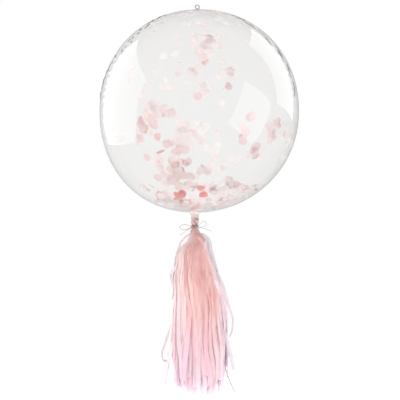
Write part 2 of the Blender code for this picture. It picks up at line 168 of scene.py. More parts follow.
# Fringe of the tassel: share of the drop, share of the half width, shift to the side
FRINGE_STATIONS = (
    (0.042, 0.180, 0.01),
    (0.057, 0.245, 0.06),
    (0.069, 0.290, 0.075),
    (0.081, 0.325, 0.085),
    (0.105, 0.390, 0.055),
    (0.129, 0.480, -0.010),
    (0.165, 0.542, -0.030),
    (0.201, 0.575, -0.007),
    (0.249, 0.625, 0.034),
    (0.297, 0.70, 0.042),
    (0.357, 0.745, 0.09),
    (0.441, 0.775, 0.12),
    (0.561, 0.82, 0.13),
    (0.681, 0.84, 0.12),
    (0.873, 0.80, 0.14),
    (1.000, 0.72, 0.10),
)
STRIP_THICKNESS = 0.0016
FRINGE_SWIRL = math.radians(12)
FRINGE_RIPPLE = 0.035
FRINGE_WANDER = 0.07

# Sheets of the tassel, with the angle of each one's middle
SHEETS = (
    ("peach_tissue", math.radians(270)),
    ("lilac_tissue", math.radians(0)),
    ("pale_tissue", math.radians(90)),
    ("blush_tissue", math.radians(180)),
)
SHEET_SPREAD = math.pi / 2
DEEPEST_ANGLE = math.radians(277)
STRIP_STATIONS = 26
STRIP_CORNERS = 10
STRIP_START = TRUNK_BELOW_TIE - 0.0040
LEAST_STRIP_WIDTH = 0.0040
STRAY_STATIONS = 22

# Rings of strips in each sheet: share of the half width, strips, most tilt
STRIP_RINGS = (
    (0.97, 12, math.radians(13)),
    (0.935, 12, math.radians(18)),
    (0.89, 11, math.radians(26)),
    (0.55, 3, math.radians(45)),
    (0.28, 2, math.radians(60)),
)

# Strips that have come away from the rest: sheet, width, cast (painted grey shade above
# 0, rosy below), turn about its length at the start and end in degrees, and points on its line
STRAY_STRIPS = (
    ("blush_tissue", 0.0060, 0.55, 30, 40, (
        (-0.018, -0.016, -0.6880), (-0.0306, -0.018, -0.6935), (-0.0463, -0.020, -0.7084),
        (-0.0535, -0.022, -0.7244), (-0.0629, -0.022, -0.7533), (-0.069, -0.018, -0.790),
        (-0.074, -0.014, -0.835),
    )),
    ("lilac_tissue", 0.0150, 0.55, -20, -50, (
        (0.004, -0.014, -0.688), (0.020, -0.020, -0.696), (0.033, -0.024, -0.710),
        (0.040, -0.026, -0.742), (0.054, -0.024, -0.790), (0.068, -0.018, -0.850),
    )),
    ("lilac_tissue", 0.0110, 0.45, -30, -80, (
        (0.060, -0.030, -0.800), (0.078, -0.036, -0.850), (0.092, -0.034, -0.900),
        (0.105, -0.030, -0.940), (0.104, -0.026, -0.975), (0.096, -0.022, -0.995),
    )),
    ("lilac_tissue", 0.0130, 0.35, -40, -20, (
        (0.062, -0.020, -0.900), (0.080, -0.024, -0.980), (0.096, -0.020, -1.040),
        (0.106, -0.016, -1.080), (0.109, -0.012, -1.098),
    )),
    ("lilac_tissue", 0.0050, 0.80, -36, -44, (
        (0.070, -0.030, -1.020), (0.084, -0.034, -1.090), (0.098, -0.030, -1.130),
        (0.114, -0.024, -1.166),
    )),
    ("blush_tissue", 0.0110, 0.40, 30, 80, (
        (-0.050, -0.030, -0.760), (-0.066, -0.034, -0.790), (-0.078, -0.034, -0.812),
        (-0.070, -0.030, -0.845), (-0.073, -0.026, -0.885),
    )),
    ("blush_tissue", 0.0090, 0.55, 40, 85, (
        (-0.080, -0.040, -0.960), (-0.094, -0.044, -1.010), (-0.104, -0.042, -1.040),
        (-0.102, -0.036, -1.064), (-0.090, -0.032, -1.068), (-0.084, -0.030, -1.090),
    )),
    ("blush_tissue", 0.0120, 0.30, 10, 40, (
        (-0.070, -0.034, -1.000), (-0.084, -0.036, -1.060), (-0.092, -0.030, -1.110),
        (-0.096, -0.024, -1.140),
    )),
    ("peach_tissue", 0.0065, 0.00, 10, 0, (
        (-0.004, -0.022, -0.694), (0.003, -0.030, -0.700), (0.013, -0.034, -0.709),
        (0.020, -0.037, -0.721), (0.022, -0.040, -0.736),
    )),
    ("peach_tissue", 0.0150, -1.00, 0, -15, (
        (-0.012, -0.048, -0.800), (-0.020, -0.074, -0.900), (-0.030, -0.089, -1.000),
        (-0.037, -0.090, -1.070), (-0.041, -0.086, -1.120),
    )),
)

# Colours of the tissue: its deeper tone as a share, which also paints the shade in its creases,
# the painted grey shade of loose strips, the painted shade along strip edges, and the
# painted shade of the wrapped head, lighter and deeper
DEEP_TONE_AND_SHADE = (0.93, 0.79, 0.81)
STRIP_SHADE_GREY = (0.44, 0.41, 0.42)
EDGE_SHADE = (0.80, 0.64, 0.66)
HEAD_SHADE_LIGHT = (0.80, 0.675, 0.67)
HEAD_SHADE_DEEP = (0.32, 0.165, 0.165)

# Loose runs of the cord, in metres from the knot's face: to the side, towards the
# viewer and up
UPPER, MIDDLE, LOWER = 0.0020, 0.0, -0.0020
FACE_CLEARANCE = 0.0003
LEFT_LOOP = (
    (0.0000, 0.0000, UPPER),
    (-0.0050, 0.0004, 0.0022),
    (-0.0110, 0.0012, 0.0032),
    (-0.0190, 0.0024, 0.0058),
    (-0.0290, 0.0038, 0.0066),
    (-0.0370, 0.0046, 0.0036),
    (-0.0395, 0.0048, -0.0020),
    (-0.0365, 0.0044, -0.0072),
    (-0.0285, 0.0034, -0.0092),
    (-0.0190, 0.0020, -0.0080),
    (-0.0110, 0.0009, -0.0039),
    (-0.0050, 0.0002, -0.0006),
    (0.0000, 0.0000, MIDDLE),
)
LEFT_TAIL = (
    (0.0000, 0.0000, LOWER),
    (-0.0055, 0.0006, -0.0034),
    (-0.0130, 0.0016, -0.0082),
    (-0.0210, 0.0030, -0.0130),
    (-0.0300, 0.0046, -0.0190),
    (-0.0385, 0.0056, -0.0244),
)
RIGHT_LOOP = (
    (0.0000, 0.0000, MIDDLE),
    (0.0070, 0.0006, -0.0008),
    (0.0170, 0.0016, -0.0012),
    (0.0270, 0.0026, 0.0006),
    (0.0326, 0.0034, 0.0056),
    (0.0328, 0.0038, 0.0118),
    (0.0284, 0.0038, 0.0162),
    (0.0224, 0.0034, 0.0160),
    (0.0180, 0.0026, 0.0116),
    (0.0136, 0.0018, 0.0064),
    (0.0070, 0.0008, 0.0028),
    (0.0000, 0.0000, UPPER),
)
RIGHT_TAIL = (
    (0.0000, 0.0000, LOWER),
    (0.0070, 0.0002, -0.0028),
    (0.0170, 0.0006, -0.0036),
    (0.0280, 0.0014, -0.0054),
    (0.0390, 0.0026, -0.0094),
    (0.0480, 0.0036, -0.0134),
)

# Groups of confetti on the balloon's wall: share of the half width to the side, share
# of the half height up, which wall, spread to the side and up, discs, how deep their
# colour is, how far they tilt off the wall in degrees. Groups that stand nearly
# edge-on have deeper tones, partly painted shade of discs seen edge-on
CONFETTI_GROUPS = (
    (0.091, 0.752, "back", 0.101, 0.050, 15, 0.20, 22),
    (0.101, 0.801, "back", 0.020, 0.015, 2, 0.42, 55),
    (0.041, 0.444, "front", 0.010, 0.010, 1, 0.55, 10),
    (0.049, 0.605, "back", 0.030, 0.030, 3, 0.30, 40),
    (-0.122, 0.505, "back", 0.060, 0.030, 5, 0.15, 35),
    (0.316, 0.501, "back", 0.090, 0.060, 10, 0.14, 30),
    (0.268, 0.185, "front", 0.020, 0.005, 2, 0.55, 84),
    (-0.012, 0.086, "front", 0.005, 0.020, 1, 0.60, 80),
    (-0.312, 0.570, "back", 0.121, 0.090, 4, 0.05, 20),
    (-0.389, 0.367, "back", 0.070, 0.050, 4, 0.06, 20),
    (0.028, 0.312, "back", 0.090, 0.070, 4, 0.05, 20),
    (-0.528, 0.134, "back", 0.060, 0.050, 9, 0.24, 25),
    (-0.352, -0.057, "front", 0.008, 0.030, 3, 0.55, 80),
    (-0.287, -0.081, "front", 0.025, 0.020, 3, 0.40, 20),
    (-0.486, -0.122, "front", 0.030, 0.020, 3, 0.45, 20),
    (-0.573, -0.165, "front", 0.015, 0.015, 2, 0.60, 75),
    (-0.533, -0.226, "front", 0.020, 0.020, 3, 0.55, 60),
    (-0.517, -0.107, "back", 0.060, 0.060, 8, 0.28, 25),
    (-0.567, -0.316, "front", 0.030, 0.050, 5, 0.34, 30),
    (-0.403, -0.302, "front", 0.010, 0.010, 1, 0.74, 10),
    (-0.297, -0.377, "front", 0.018, 0.018, 2, 0.68, 12),
    (-0.174, -0.428, "front", 0.035, 0.025, 4, 0.52, 25),
    (-0.380, -0.445, "front", 0.005, 0.005, 1, 0.66, 78),
    (-0.515, -0.469, "front", 0.010, 0.010, 1, 0.50, 15),
    (-0.121, -0.175, "back", 0.141, 0.090, 18, 0.26, 22),
    (-0.001, -0.216, "front", 0.050, 0.060, 5, 0.04, 25),
    (-0.204, -0.314, "front", 0.060, 0.050, 5, 0.22, 20),
    (0.020, -0.352, "front", 0.010, 0.015, 1, 0.60, 82),
    (-0.340, -0.541, "front", 0.060, 0.040, 6, 0.36, 25),
    (-0.248, -0.564, "front", 0.030, 0.020, 4, 0.60, 40),
    (-0.117, -0.538, "front", 0.030, 0.020, 4, 0.56, 70),
    (-0.141, -0.634, "front", 0.025, 0.020, 4, 0.72, 75),
    (-0.207, -0.643, "front", 0.050, 0.040, 9, 0.52, 35),
    (-0.050, -0.648, "front", 0.050, 0.015, 3, 0.45, 78),
    (-0.236, -0.540, "back", 0.090, 0.060, 9, 0.34, 30),
    (-0.367, -0.665, "front", 0.015, 0.015, 2, 0.48, 15),
    (-0.286, -0.716, "front", 0.030, 0.025, 4, 0.40, 40),
    (0.042, -0.597, "front", 0.040, 0.040, 5, 0.46, 68),
    (0.080, -0.606, "front", 0.040, 0.030, 3, 0.30, 30),
    (0.360, -0.531, "front", 0.030, 0.020, 3, 0.03, 15),
    (0.239, -0.583, "front", 0.030, 0.020, 3, 0.03, 15),
    (0.159, -0.406, "front", 0.050, 0.020, 4, 0.02, 20),
    (0.402, -0.177, "front", 0.010, 0.010, 1, 0.34, 8),
    (0.504, -0.116, "front", 0.015, 0.015, 2, 0.42, 12),
    (0.439, -0.247, "front", 0.020, 0.015, 2, 0.36, 20),
    (0.428, -0.320, "front", 0.015, 0.015, 2, 0.45, 50),
    (0.741, -0.196, "back", 0.045, 0.070, 10, 0.30, 30),
    (0.853, -0.100, "back", 0.020, 0.030, 4, 0.36, 40),
    (0.626, -0.376, "back", 0.050, 0.040, 9, 0.28, 30),
    (0.556, -0.422, "front", 0.010, 0.015, 2, 0.60, 80),
    (0.888, -0.317, "back", 0.030, 0.080, 4, 0.16, 35),
    (-0.902, -0.193, "back", 0.040, 0.080, 4, 0.16, 30),
    (0.054, -0.770, "front", 0.010, 0.010, 1, 1.00, 12),
    (0.081, -0.842, "front", 0.013, 0.010, 2, 0.98, 15),
    (-0.149, -0.855, "front", 0.035, 0.015, 5, 0.86, 25),
    (-0.166, -0.919, "front", 0.025, 0.008, 2, 0.80, 40),
    (0.165, -0.801, "front", 0.012, 0.025, 3, 0.58, 70),
    (0.356, -0.716, "back", 0.080, 0.030, 7, 0.18, 50),
    (0.450, -0.774, "back", 0.080, 0.040, 7, 0.16, 40),
    (0.248, -0.810, "front", 0.080, 0.040, 7, 0.12, 35),
    (-0.063, -0.754, "front", 0.101, 0.030, 9, 0.30, 45),
)
GROUP_SPREAD = 0.75
TONE_SPREAD = 0.07
SCATTERED_DISCS = 22
CROWN_DISCS = 26
BOWL_DISCS = 150
HEAP_DISCS = 70

# Shapes of a disc: how far it is bent across its width, as a share of the diameter
DISC_BENDS = (0.03, 0.10, 0.20)
DISC_CORNERS = 14
DISC_GAP = 0.0012

# Strands of the cord: how many, their distance from its middle and their radius as
# shares of its radius and diameter, the length of one twist, and the colour of their painted shade,
# reddened as a painted reflection of the tissue
CORD_STRANDS = 3
STRAND_OFFSET = 0.53
STRAND_RADIUS = 0.245
STRAND_CORNERS = 7
CORD_LAY = 0.0042
CORD_SHADE = (0.36, 0.13, 0.12)

# Turns of cord round the waist and their pitch, and how finely the cord's runs are made
WRAP_TURNS = 5
WRAP_PITCH = 0.0019
WRAP_STEPS = 90
KNOT_STEPS = 260
CURVE_STEPS = 24
FINE_STEP = 0.00035
PATH_STEP = 0.0020

# Ring: the thickness of its wire, its steps, its stem by radius and share of the wire,
# and its foot by radius and height
RING_WIRE = 0.0034
RING_STEPS = 72
WIRE_STEPS = 28
FOOT_STEPS = 48
RING_STEM = ((0.0017, 0.75), (0.0016, 0.20))
RING_FOOT = (
    (0.0016, 0.0022),
    (0.0017, 0.0018),
    (0.0021, 0.0014),
    (0.0028, 0.00115),
    (0.0040, 0.00095),
    (0.0056, 0.00075),
    (0.0066, 0.00062),
    (0.0071, 0.00042),
    (0.0072, 0.00022),
    (0.0071, 0.0),
)

# Stage: where the camera looks, and the floor
VIEW_TO_SIDE = 0.0080
VIEW_Z = -0.5860
FLOOR_RADIUS = 1.6

# Softboxes that the film mirrors: bearing, height and roll in degrees, size, brightness
WINDOW_DISTANCE = 2.4
WINDOWS = (
    ("softbox_left", -76.8, 10.9, -13.5, (3.17, 2.66), 1.0),
    ("softbox_right_high", 62.4, 26.0, -12.4, (1.62, 2.20), 0.89),
    ("softbox_right_front", 121.1, -3.5, -28.1, (1.75, 1.90), 1.0),
)

# Lamps for the matt parts: bearing and height in degrees, distance, size, brightness
LAMPS = (
    ("key_left", -150, 30, 2.6, 1.4, 2.2),
    ("key_right", 118, 10, 2.6, 1.4, 1.8),
    ("fill_front", 180, -6, 3.8, 1.8, 1.9),
    ("fill_back", 0, 10, 3.8, 1.8, 5.0),
)


def a_length(name, about, value, **more):
    """A setting in metres."""
    return FloatProperty(name=name, description=about, default=value, unit="LENGTH", **more)


def a_number(name, about, value):
    """A setting without a unit."""
    return FloatProperty(name=name, description=about, default=value)


def a_colour(name, about, value):
    """A setting that is a colour."""
    return FloatVectorProperty(name=name, description=about, default=value, subtype="COLOR")


def a_seed(about, value):
    """A setting that starts the random numbers."""
    return IntProperty(name="Seed", description=about, default=value)


class BalloonSizes(bpy.types.PropertyGroup):
    """Sizes and colour of the clear film"""

    width: a_length("Width", "Width of the balloon", FILM_HIGH.x - FILM_LOW.x)
    height: a_length("Height", "Height without the neck", 0.609)
    fullness: a_number("Fullness", "2 is an ellipse, and more is fuller", 2.08)
    film: a_length("Film", "Thickness of the film", 0.0003, precision=5)
    tint: a_colour("Tint", "Colour of the film", (0.948, 0.945, 0.942))


class ConfettiSizes(bpy.types.PropertyGroup):
    """Sizes and colours of the paper discs"""

    diameter: a_length("Diameter", "Width of a disc", 0.025)
    thickness: a_length("Thickness", "Thickness of a disc", 0.0002, precision=5)
    seed: a_seed("Picks another scatter of discs", 4)
    pale: a_colour("Pale", "Lightest paper", (0.95, 0.93, 0.92))
    blush: a_colour("Blush", "Most common paper", (0.94, 0.85, 0.845))
    dusty: a_colour("Dusty", "Greyer paper", (0.88, 0.72, 0.715))
    coral: a_colour("Coral", "Deepest paper", (0.89, 0.38, 0.35))


class TasselSizes(bpy.types.PropertyGroup):
    """Sizes and colours of the tissue tassel"""

    drop: a_length("Drop", "From the cord to the longest tip", 0.502)
    half_width: a_length("Half width", "Reach of the fringe at its widest", 0.102)
    strip_width: a_length("Strip width", "Width that the fringe is cut to", 0.0150)
    crumple: a_length("Crumple", "How far the strips wander", 0.006)
    seed: a_seed("Picks another fall of strips", 7)
    peach: a_colour("Peach", "Front sheet", (0.81, 0.645, 0.61))
    lilac: a_colour("Lilac", "Right sheet", (0.80, 0.745, 0.77))
    white: a_colour("Pale", "Back sheet", (0.86, 0.80, 0.815))
    blush: a_colour("Blush", "Left sheet", (0.83, 0.745, 0.735))
    tip: a_colour("Tip", "Paler ends", (0.78, 0.735, 0.785))
    rose: a_colour("Rose", "Deeper patches low in the fringe", (0.86, 0.615, 0.68))


class CordSizes(bpy.types.PropertyGroup):
    """Sizes and colour of the cord"""

    diameter: a_length("Diameter", "Thickness of the cord", 0.0015, precision=4)
    colour: a_colour("Colour", "Colour of the cord", (0.34, 0.355, 0.335))


class StageSizes(bpy.types.PropertyGroup):
    """Camera, floor and light"""

    distance: a_length("Distance", "From the camera to the balloon", 4.0)
    view_width: a_length("View width", "Width of what the camera sees", 1.206)
    floor_z: a_length("Floor", "Height of the floor", -1.25)
    room: a_number("Room", "Brightness of the room in reflections", 0.35)
    backdrop: a_number("Backdrop", "Brightness of the backdrop in reflections", 0.62)
    ambient: a_number("Ambient", "Soft light from all sides", 1.15)
    folds: a_number("Folds", "More soft light for each turn it takes between papers", 1.0)
    inside: a_number("Inside", "Soft light that reaches the confetti", 2.3)
    windows: a_number("Softboxes", "Brightness of the softboxes in reflections", 1.72)


class BalloonModel(bpy.types.PropertyGroup):
    """All settings of the confetti balloon"""

    balloon: PointerProperty(type=BalloonSizes)
    confetti: PointerProperty(type=ConfettiSizes)
    tassel: PointerProperty(type=TasselSizes)
    cord: PointerProperty(type=CordSizes)
    stage: PointerProperty(type=StageSizes)


def settings():
    return bpy.context.scene.confetti_balloon


def smooth_value(stations, column, at):
    """Value of one column of the stations at a place, on a smooth curve through them."""
    if at <= stations[0][0]:
        return stations[0][column]
    if at >= stations[-1][0]:
        return stations[-1][column]

    def slope(i):
        low = stations[max(i - 1, 0)]
        high = stations[min(i + 1, len(stations) - 1)]
        return (high[column] - low[column]) / (high[0] - low[0])

    i = max(k for k in range(len(stations) - 1) if stations[k][0] <= at)
    a, b = stations[i], stations[i + 1]
    span = b[0] - a[0]
    t = (at - a[0]) / span
    return (
        (2 * t**3 - 3 * t**2 + 1) * a[column]
        + (t**3 - 2 * t**2 + t) * slope(i) * span
        + (3 * t**2 - 2 * t**3) * b[column]
        + (t**3 - t**2) * slope(i + 1) * span
    )


def straight_value(stations, at):
    """Value at a place, on straight lines between the stations."""
    for (start, low), (end, high) in zip(stations, stations[1:]):
        if at <= end:
            return low + (high - low) * max(at - start, 0.0) / (end - start)
    return stations[-1][1]


def smooth_step(low, high, at):
    t = min(1.0, max(0.0, (at - low) / (high - low)))
    return t * t * (3 - 2 * t)


def on_curve(points, i, t):
    """Point on a smooth curve through the points, a share t of the way on from point i."""
    start, end = points[i], points[i + 1]
    before, after = points[max(i - 1, 0)], points[min(i + 2, len(points) - 1)]
    bend = 2 * start + (end - before) * t
    bend += (2 * before - 5 * start + 4 * end - after) * t**2
    bend += (3 * start - before - 3 * end + after) * t**3
    return bend / 2


def round_steps(count):
    """Angles of one whole turn, in equal steps."""
    return [2 * math.pi * i / count for i in range(count)]


def spoke(radius, angle, z, middle=0.0):
    """A point at a radius and an angle round an upright line."""
    return Vector((middle + radius * math.cos(angle), radius * math.sin(angle), z))


def swung(way, toward, angle):
    """A way that is swung by an angle towards another one."""
    return way * math.cos(angle) + toward * math.sin(angle)


def place(name, data, slot):
    """A piece at the origin that rides with the balloon."""
    thing = bpy.data.objects.new(name, data)
    bpy.context.scene.collection.objects.link(thing)
    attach(thing, BODY)
    return thing


def mesh_of(name, build):
    mesh = bpy.data.meshes.new(name)
    build.to_mesh(mesh)
    build.free()
    return mesh


def add_rows(build, rows, ring=False):
    """Joins rows of points, from the top down, into a closed skin. In a ring, the last
    row joins the first. Each row's points go anticlockwise seen from above."""
    made = [[build.verts.new(point) for point in row] for row in rows]
    lower_rows = made[1:] + made[:1] if ring else made[1:]
    for upper, lower in zip(made, lower_rows):
        for i in range(len(upper)):
            j = (i + 1) % len(upper)
            build.faces.new((upper[i], lower[i], lower[j], upper[j]))
    if not ring:
        build.faces.new(made[0])
        build.faces.new(list(reversed(made[-1])))


def mesh_with(name, points, edges, facts):
    """A mesh of points and edges, whose points carry a named list of numbers or ways."""
    mesh = bpy.data.meshes.new(name)
    mesh.from_pydata(points, edges, [])
    for label, values in facts.items():
        if isinstance(values[0], Vector):
            layer = mesh.attributes.new(label, "FLOAT_VECTOR", "POINT")
            layer.data.foreach_set("vector", [x for way in values for x in way])
        else:
            kind = "INT" if isinstance(values[0], int) else "FLOAT"
            layer = mesh.attributes.new(label, kind, "POINT")
            layer.data.foreach_set("value", values)
    return mesh


# Nodes


class Nodes:
    """A tree of nodes that is built one node after another."""

    def __init__(self, tree):
        self.tree = tree

    def feed(self, socket, value):
        if isinstance(value, bpy.types.NodeSocket):
            self.tree.links.new(value, socket)
        elif socket.type == "RGBA":
            socket.default_value = (*tuple(value)[:3], 1.0)
        else:
            socket.default_value = value

    def node(self, kind, inputs=None, **settings):
        made = self.tree.nodes.new(kind)
        for key, value in settings.items():
            setattr(made, key, value)
        for key, value in (inputs or {}).items():
            self.feed(made.inputs[key], value)
        return made

    def first(self, kind, inputs=None, **settings):
        """The first output of a new node."""
        return self.node(kind, inputs, **settings).outputs[0]

    def maths(self, operation, *values):
        return self.first("ShaderNodeMath", dict(enumerate(values)), operation=operation)

    def between(self, value, low, high, out_low=0.0, out_high=1.0, kind="LINEAR"):
        """Moves a value's place between low and high to a place between two others."""
        places = {"From Min": low, "From Max": high, "To Min": out_low, "To Max": out_high}
        return self.first("ShaderNodeMapRange", {"Value": value, **places}, interpolation_type=kind)


# Materials


class Shading(Nodes):
    """The nodes of a material."""

    def __init__(self, name):
        self.material = bpy.data.materials.new(name)
        self.material.use_nodes = True
        super().__init__(self.material.node_tree)
        self.shader = self.tree.nodes["Principled BSDF"]

    def paint(self, values):
        """The material, once the shader's own sockets have these values."""
        for name, value in values.items():
            self.feed(self.shader.inputs[name], value)
        return self.material

    def number(self, name):
        return self.node("ShaderNodeAttribute", attribute_name=name).outputs["Fac"]

    def ramp(self, value, stops):
        made = self.node("ShaderNodeValToRGB", {"Fac": value})
        band = made.color_ramp
        while len(band.elements) < len(stops):
            band.elements.new(0.5)
        for element, (at, colour) in zip(band.elements, stops):
            element.position = at
            element.color = (*colour, 1.0)
        return made.outputs["Color"]

    def mixed(self, factor, a, b):
        return self.node("ShaderNodeMix", {0: factor, 6: a, 7: b}, data_type="RGBA").outputs[2]

    def noise(self, scale, stretch=(1, 1, 1), detail=3.0, roughness=0.5):
        where = self.node("ShaderNodeTexCoord").outputs["Object"]
        place = self.first("ShaderNodeMapping", {"Vector": where, "Scale": stretch})
        inputs = {"Vector": place, "Scale": scale, "Detail": detail, "Roughness": roughness}
        return self.first("ShaderNodeTexNoise", inputs)

    def bump(self, height, strength, distance):
        inputs = {"Height": height, "Strength": strength, "Distance": distance}
        return self.first("ShaderNodeBump", inputs)

    def lit_through(self, share, colour, normal):
        """Lets a share of the light through, as thin paper does."""
        glow = self.first("ShaderNodeBsdfTranslucent", {"Color": colour, "Normal": normal})
        both = self.first("ShaderNodeMixShader", {0: share, 1: self.shader.outputs[0], 2: glow})
        self.feed(self.tree.nodes["Material Output"].inputs["Surface"], both)


def film_material(name, colour, roughness, clear):
    """Film, see-through by plain values: wholly where it is smooth, less where it is folded."""
    return Shading(name).paint(
        {"Base Color": colour, "Roughness": roughness, "IOR": FILM_IOR, "Transmission Weight": clear}
    )


def confetti_material():
    """Matt tissue discs, in shades from near white to coral."""
    paper = settings().confetti
    shading = Shading("confetti_paper")
    shades = ((0.0, paper.pale), (0.35, paper.blush), (0.66, paper.dusty), (0.92, paper.coral))
    colour = shading.ramp(shading.number("tone"), shades)
    mottle = shading.between(shading.noise(160.0, detail=2.0), 0.35, 0.7, 0.0, 0.25)
    colour = shading.mixed(mottle, colour, (0.95, 0.92, 0.92))
    normal = shading.bump(shading.noise(420.0), 0.35, 0.0008)
    shading.lit_through(0.38, colour, normal)
    return shading.paint(
        {"Base Color": colour, "Roughness": 0.75, "Specular IOR Level": 0.2, "Normal": normal}
    )


def tissue_material(name, colour):
    """Creased tissue paper with painted highlights and shade in its creases, paler at its tips and partly
    lit from behind.
    """
    tassel = settings().tassel
    shading = Shading(name)
    tone, along, across, cast, wrapped = (
        shading.number(label) for label in ("tone", "along", "across", "cast", "wrapped")
    )
    # Deeper and paler copies of the colour: the random tone of each strip, and the painted shade and
    # painted highlights in the creases
    deep = tuple(c * k for c, k in zip(colour, DEEP_TONE_AND_SHADE))
    pale = tuple(c + (1 - c) * 0.35 for c in colour)
    creases = shading.noise(46.0, (1.0, 1.0, 0.16), 5.0, 0.62)
    painted_streaks = shading.noise(170.0, (1.0, 1.0, 0.09), 3.0, 0.6)
    edge = shading.maths("ABSOLUTE", across)
    rosy = shading.maths(
        "MULTIPLY", shading.between(cast, 0.0, -1.0), shading.between(along, 0.25, 0.8)
    )
    # Layers of colour: what they follow, where they start and are full, their most share
    layers = (
        # These four layers paint highlights and shade of the creases and streaks onto the paper
        (creases, 0.42, 0.66, 0.40, pale),
        (creases, 0.46, 0.28, 0.45, deep),
        (painted_streaks, 0.50, 0.64, 0.40, pale),
        (painted_streaks, 0.46, 0.34, 0.50, deep),
        (along, 0.45, 1.0, 0.85, tassel.tip),
        (rosy, 0.0, 1.0, 1.0, tassel.rose),
        # Painted grey shade on loose strips
        (cast, 0.0, 1.0, 1.0, STRIP_SHADE_GREY),
        # Painted shade along the strips' edges
        (edge, 0.75, 1.0, 0.25, EDGE_SHADE),
        # Darker colours of the wrapped head, with its painted shade
        (wrapped, 0.0, 0.6, 1.0, HEAD_SHADE_LIGHT),
        (wrapped, 0.6, 1.0, 1.0, HEAD_SHADE_DEEP),
    )
    base = shading.mixed(shading.between(tone, 0.0, 1.0), deep, pale)
    for value, start, full, most, over in layers:
        base = shading.mixed(shading.between(value, start, full, 0.0, most), base, over)
    normal = shading.bump(shading.noise(120.0, (1.0, 1.0, 0.22), 4.0, 0.6), 0.35, 0.0016)
    shading.lit_through(0.6, base, normal)
    return shading.paint(
        {"Base Color": base, "Roughness": 0.7, "Specular IOR Level": 0.15, "Normal": normal}
    )


def cord_material():
    """Twisted grey cord with a slight shine."""
    shading = Shading("grey_cord")
    colour = settings().cord.colour
    light = tuple(c + (1 - c) * 0.30 for c in colour)
    dark = tuple(c * 0.55 for c in colour)
    fibres = shading.noise(1800.0, detail=3.0, roughness=0.6)
    base = shading.ramp(fibres, ((0.30, dark), (0.52, colour), (0.72, light)))
    # Painted shade, reddened as a painted reflection of the tissue
    base = shading.mixed(shading.number("shade"), base, CORD_SHADE)
    return shading.paint({
        "Base Color": base, "Roughness": 0.5, "Specular IOR Level": 0.3, "Sheen Weight": 0.1,
        "Normal": shading.bump(fibres, 0.5, 0.0002),
    })


def ring_material():
    """Smooth moulded grey plastic."""
    shading = Shading("ring_plastic")
    flow = shading.noise(350.0, detail=4.0)
    grain = shading.noise(2600.0, detail=2.0)
    return shading.paint({
        "Base Color": shading.ramp(flow, ((0.25, (0.27, 0.27, 0.265)), (0.75, (0.36, 0.36, 0.355)))),
        "Roughness": shading.between(grain, 0.0, 1.0, 0.22, 0.42),
        "Normal": shading.bump(grain, 0.12, 0.0001),
    })


def floor_material():
    """Plain white paper sweep."""
    shading = Shading("floor_paper")
    grain = shading.noise(30.0, detail=4.0)
    return shading.paint({
        "Base Color": shading.ramp(grain, ((0.3, (0.93, 0.93, 0.93)), (0.7, (0.95, 0.95, 0.95)))),
        "Roughness": 0.9, "Specular IOR Level": 0.0,
        "Emission Color": (1.0, 1.0, 1.0), "Emission Strength": 0.10,
    })


# Geometry Nodes


class GrowingNodes(Nodes):
    """A Geometry Nodes tree with named inputs."""

    def __init__(self, name, inputs):
        super().__init__(bpy.data.node_groups.new(name, "GeometryNodeTree"))
        self.tree.is_modifier = True
        face = self.tree.interface
        face.new_socket("Geometry", in_out="INPUT", socket_type="NodeSocketGeometry")
        for label, (kind, value) in inputs.items():
            socket = face.new_socket(label, in_out="INPUT", socket_type="NodeSocket" + kind)
            if value is not None:
                socket.default_value = value
        face.new_socket("Geometry", in_out="OUTPUT", socket_type="NodeSocketGeometry")
        self.inputs = self.tree.nodes.new("NodeGroupInput").outputs

    def attribute(self, name, kind="FLOAT"):
        made = self.node("GeometryNodeInputNamedAttribute", {"Name": name}, data_type=kind)
        return next(o for o in made.outputs if o.enabled and o.name == "Attribute")

    def store(self, geometry, name, value):
        inputs = {"Geometry": geometry, "Name": name, "Value": value}
        kind = "GeometryNodeStoreNamedAttribute"
        return self.first(kind, inputs, data_type="FLOAT", domain="POINT")

    def vector_maths(self, operation, a, b):
        second = "Scale" if operation == "SCALE" else 1
        return self.first("ShaderNodeVectorMath", {0: a, second: b}, operation=operation)

    def paths(self):
        """The curves that the edges of the given mesh make."""
        return self.first("GeometryNodeMeshToCurve", {"Mesh": self.inputs["Geometry"]})

    def circle(self, points, radius):
        inputs = {"Resolution": points, "Radius": radius}
        return self.first("GeometryNodeCurvePrimitiveCircle", inputs)

    def swept(self, paths, profile, scale):
        """A profile carried along the paths, with closed ends."""
        inputs = {"Curve": paths, "Profile Curve": profile, "Scale": scale, "Fill Caps": True}
        return self.first("GeometryNodeCurveToMesh", inputs)

    def smooth(self, geometry):
        return self.first("GeometryNodeSetShadeSmooth", {"Geometry": geometry})

    def end(self, geometry):
        """Realize Instances, Set Material and the output."""
        real = self.first("GeometryNodeRealizeInstances", {"Geometry": geometry})
        inputs = {"Geometry": real, "Material": self.inputs["Material"]}
        painted = self.first("GeometryNodeSetMaterial", inputs)
        self.tree.links.new(painted, self.tree.nodes.new("NodeGroupOutput").inputs[0])


def grown(mesh, nodes, values):
    """The plain mesh that a tree of nodes makes from a mesh, with its inputs set."""
    seedling = bpy.data.objects.new("seedling", mesh)
    bpy.context.scene.collection.objects.link(seedling)
    modifier = seedling.modifiers.new("nodes", "NODES")
    modifier.node_group = nodes.tree
    for item in nodes.tree.interface.items_tree:
        if item.item_type == "SOCKET" and item.in_out == "INPUT" and item.name in values:
            modifier[item.identifier] = values[item.name]
    bpy.context.view_layer.update()
    depsgraph = bpy.context.evaluated_depsgraph_get()
    made = bpy.data.meshes.new_from_object(
        seedling.evaluated_get(depsgraph), preserve_all_data_layers=True, depsgraph=depsgraph
    )
    bpy.data.objects.remove(seedling, do_unlink=True)
    bpy.data.meshes.remove(mesh)
    return made


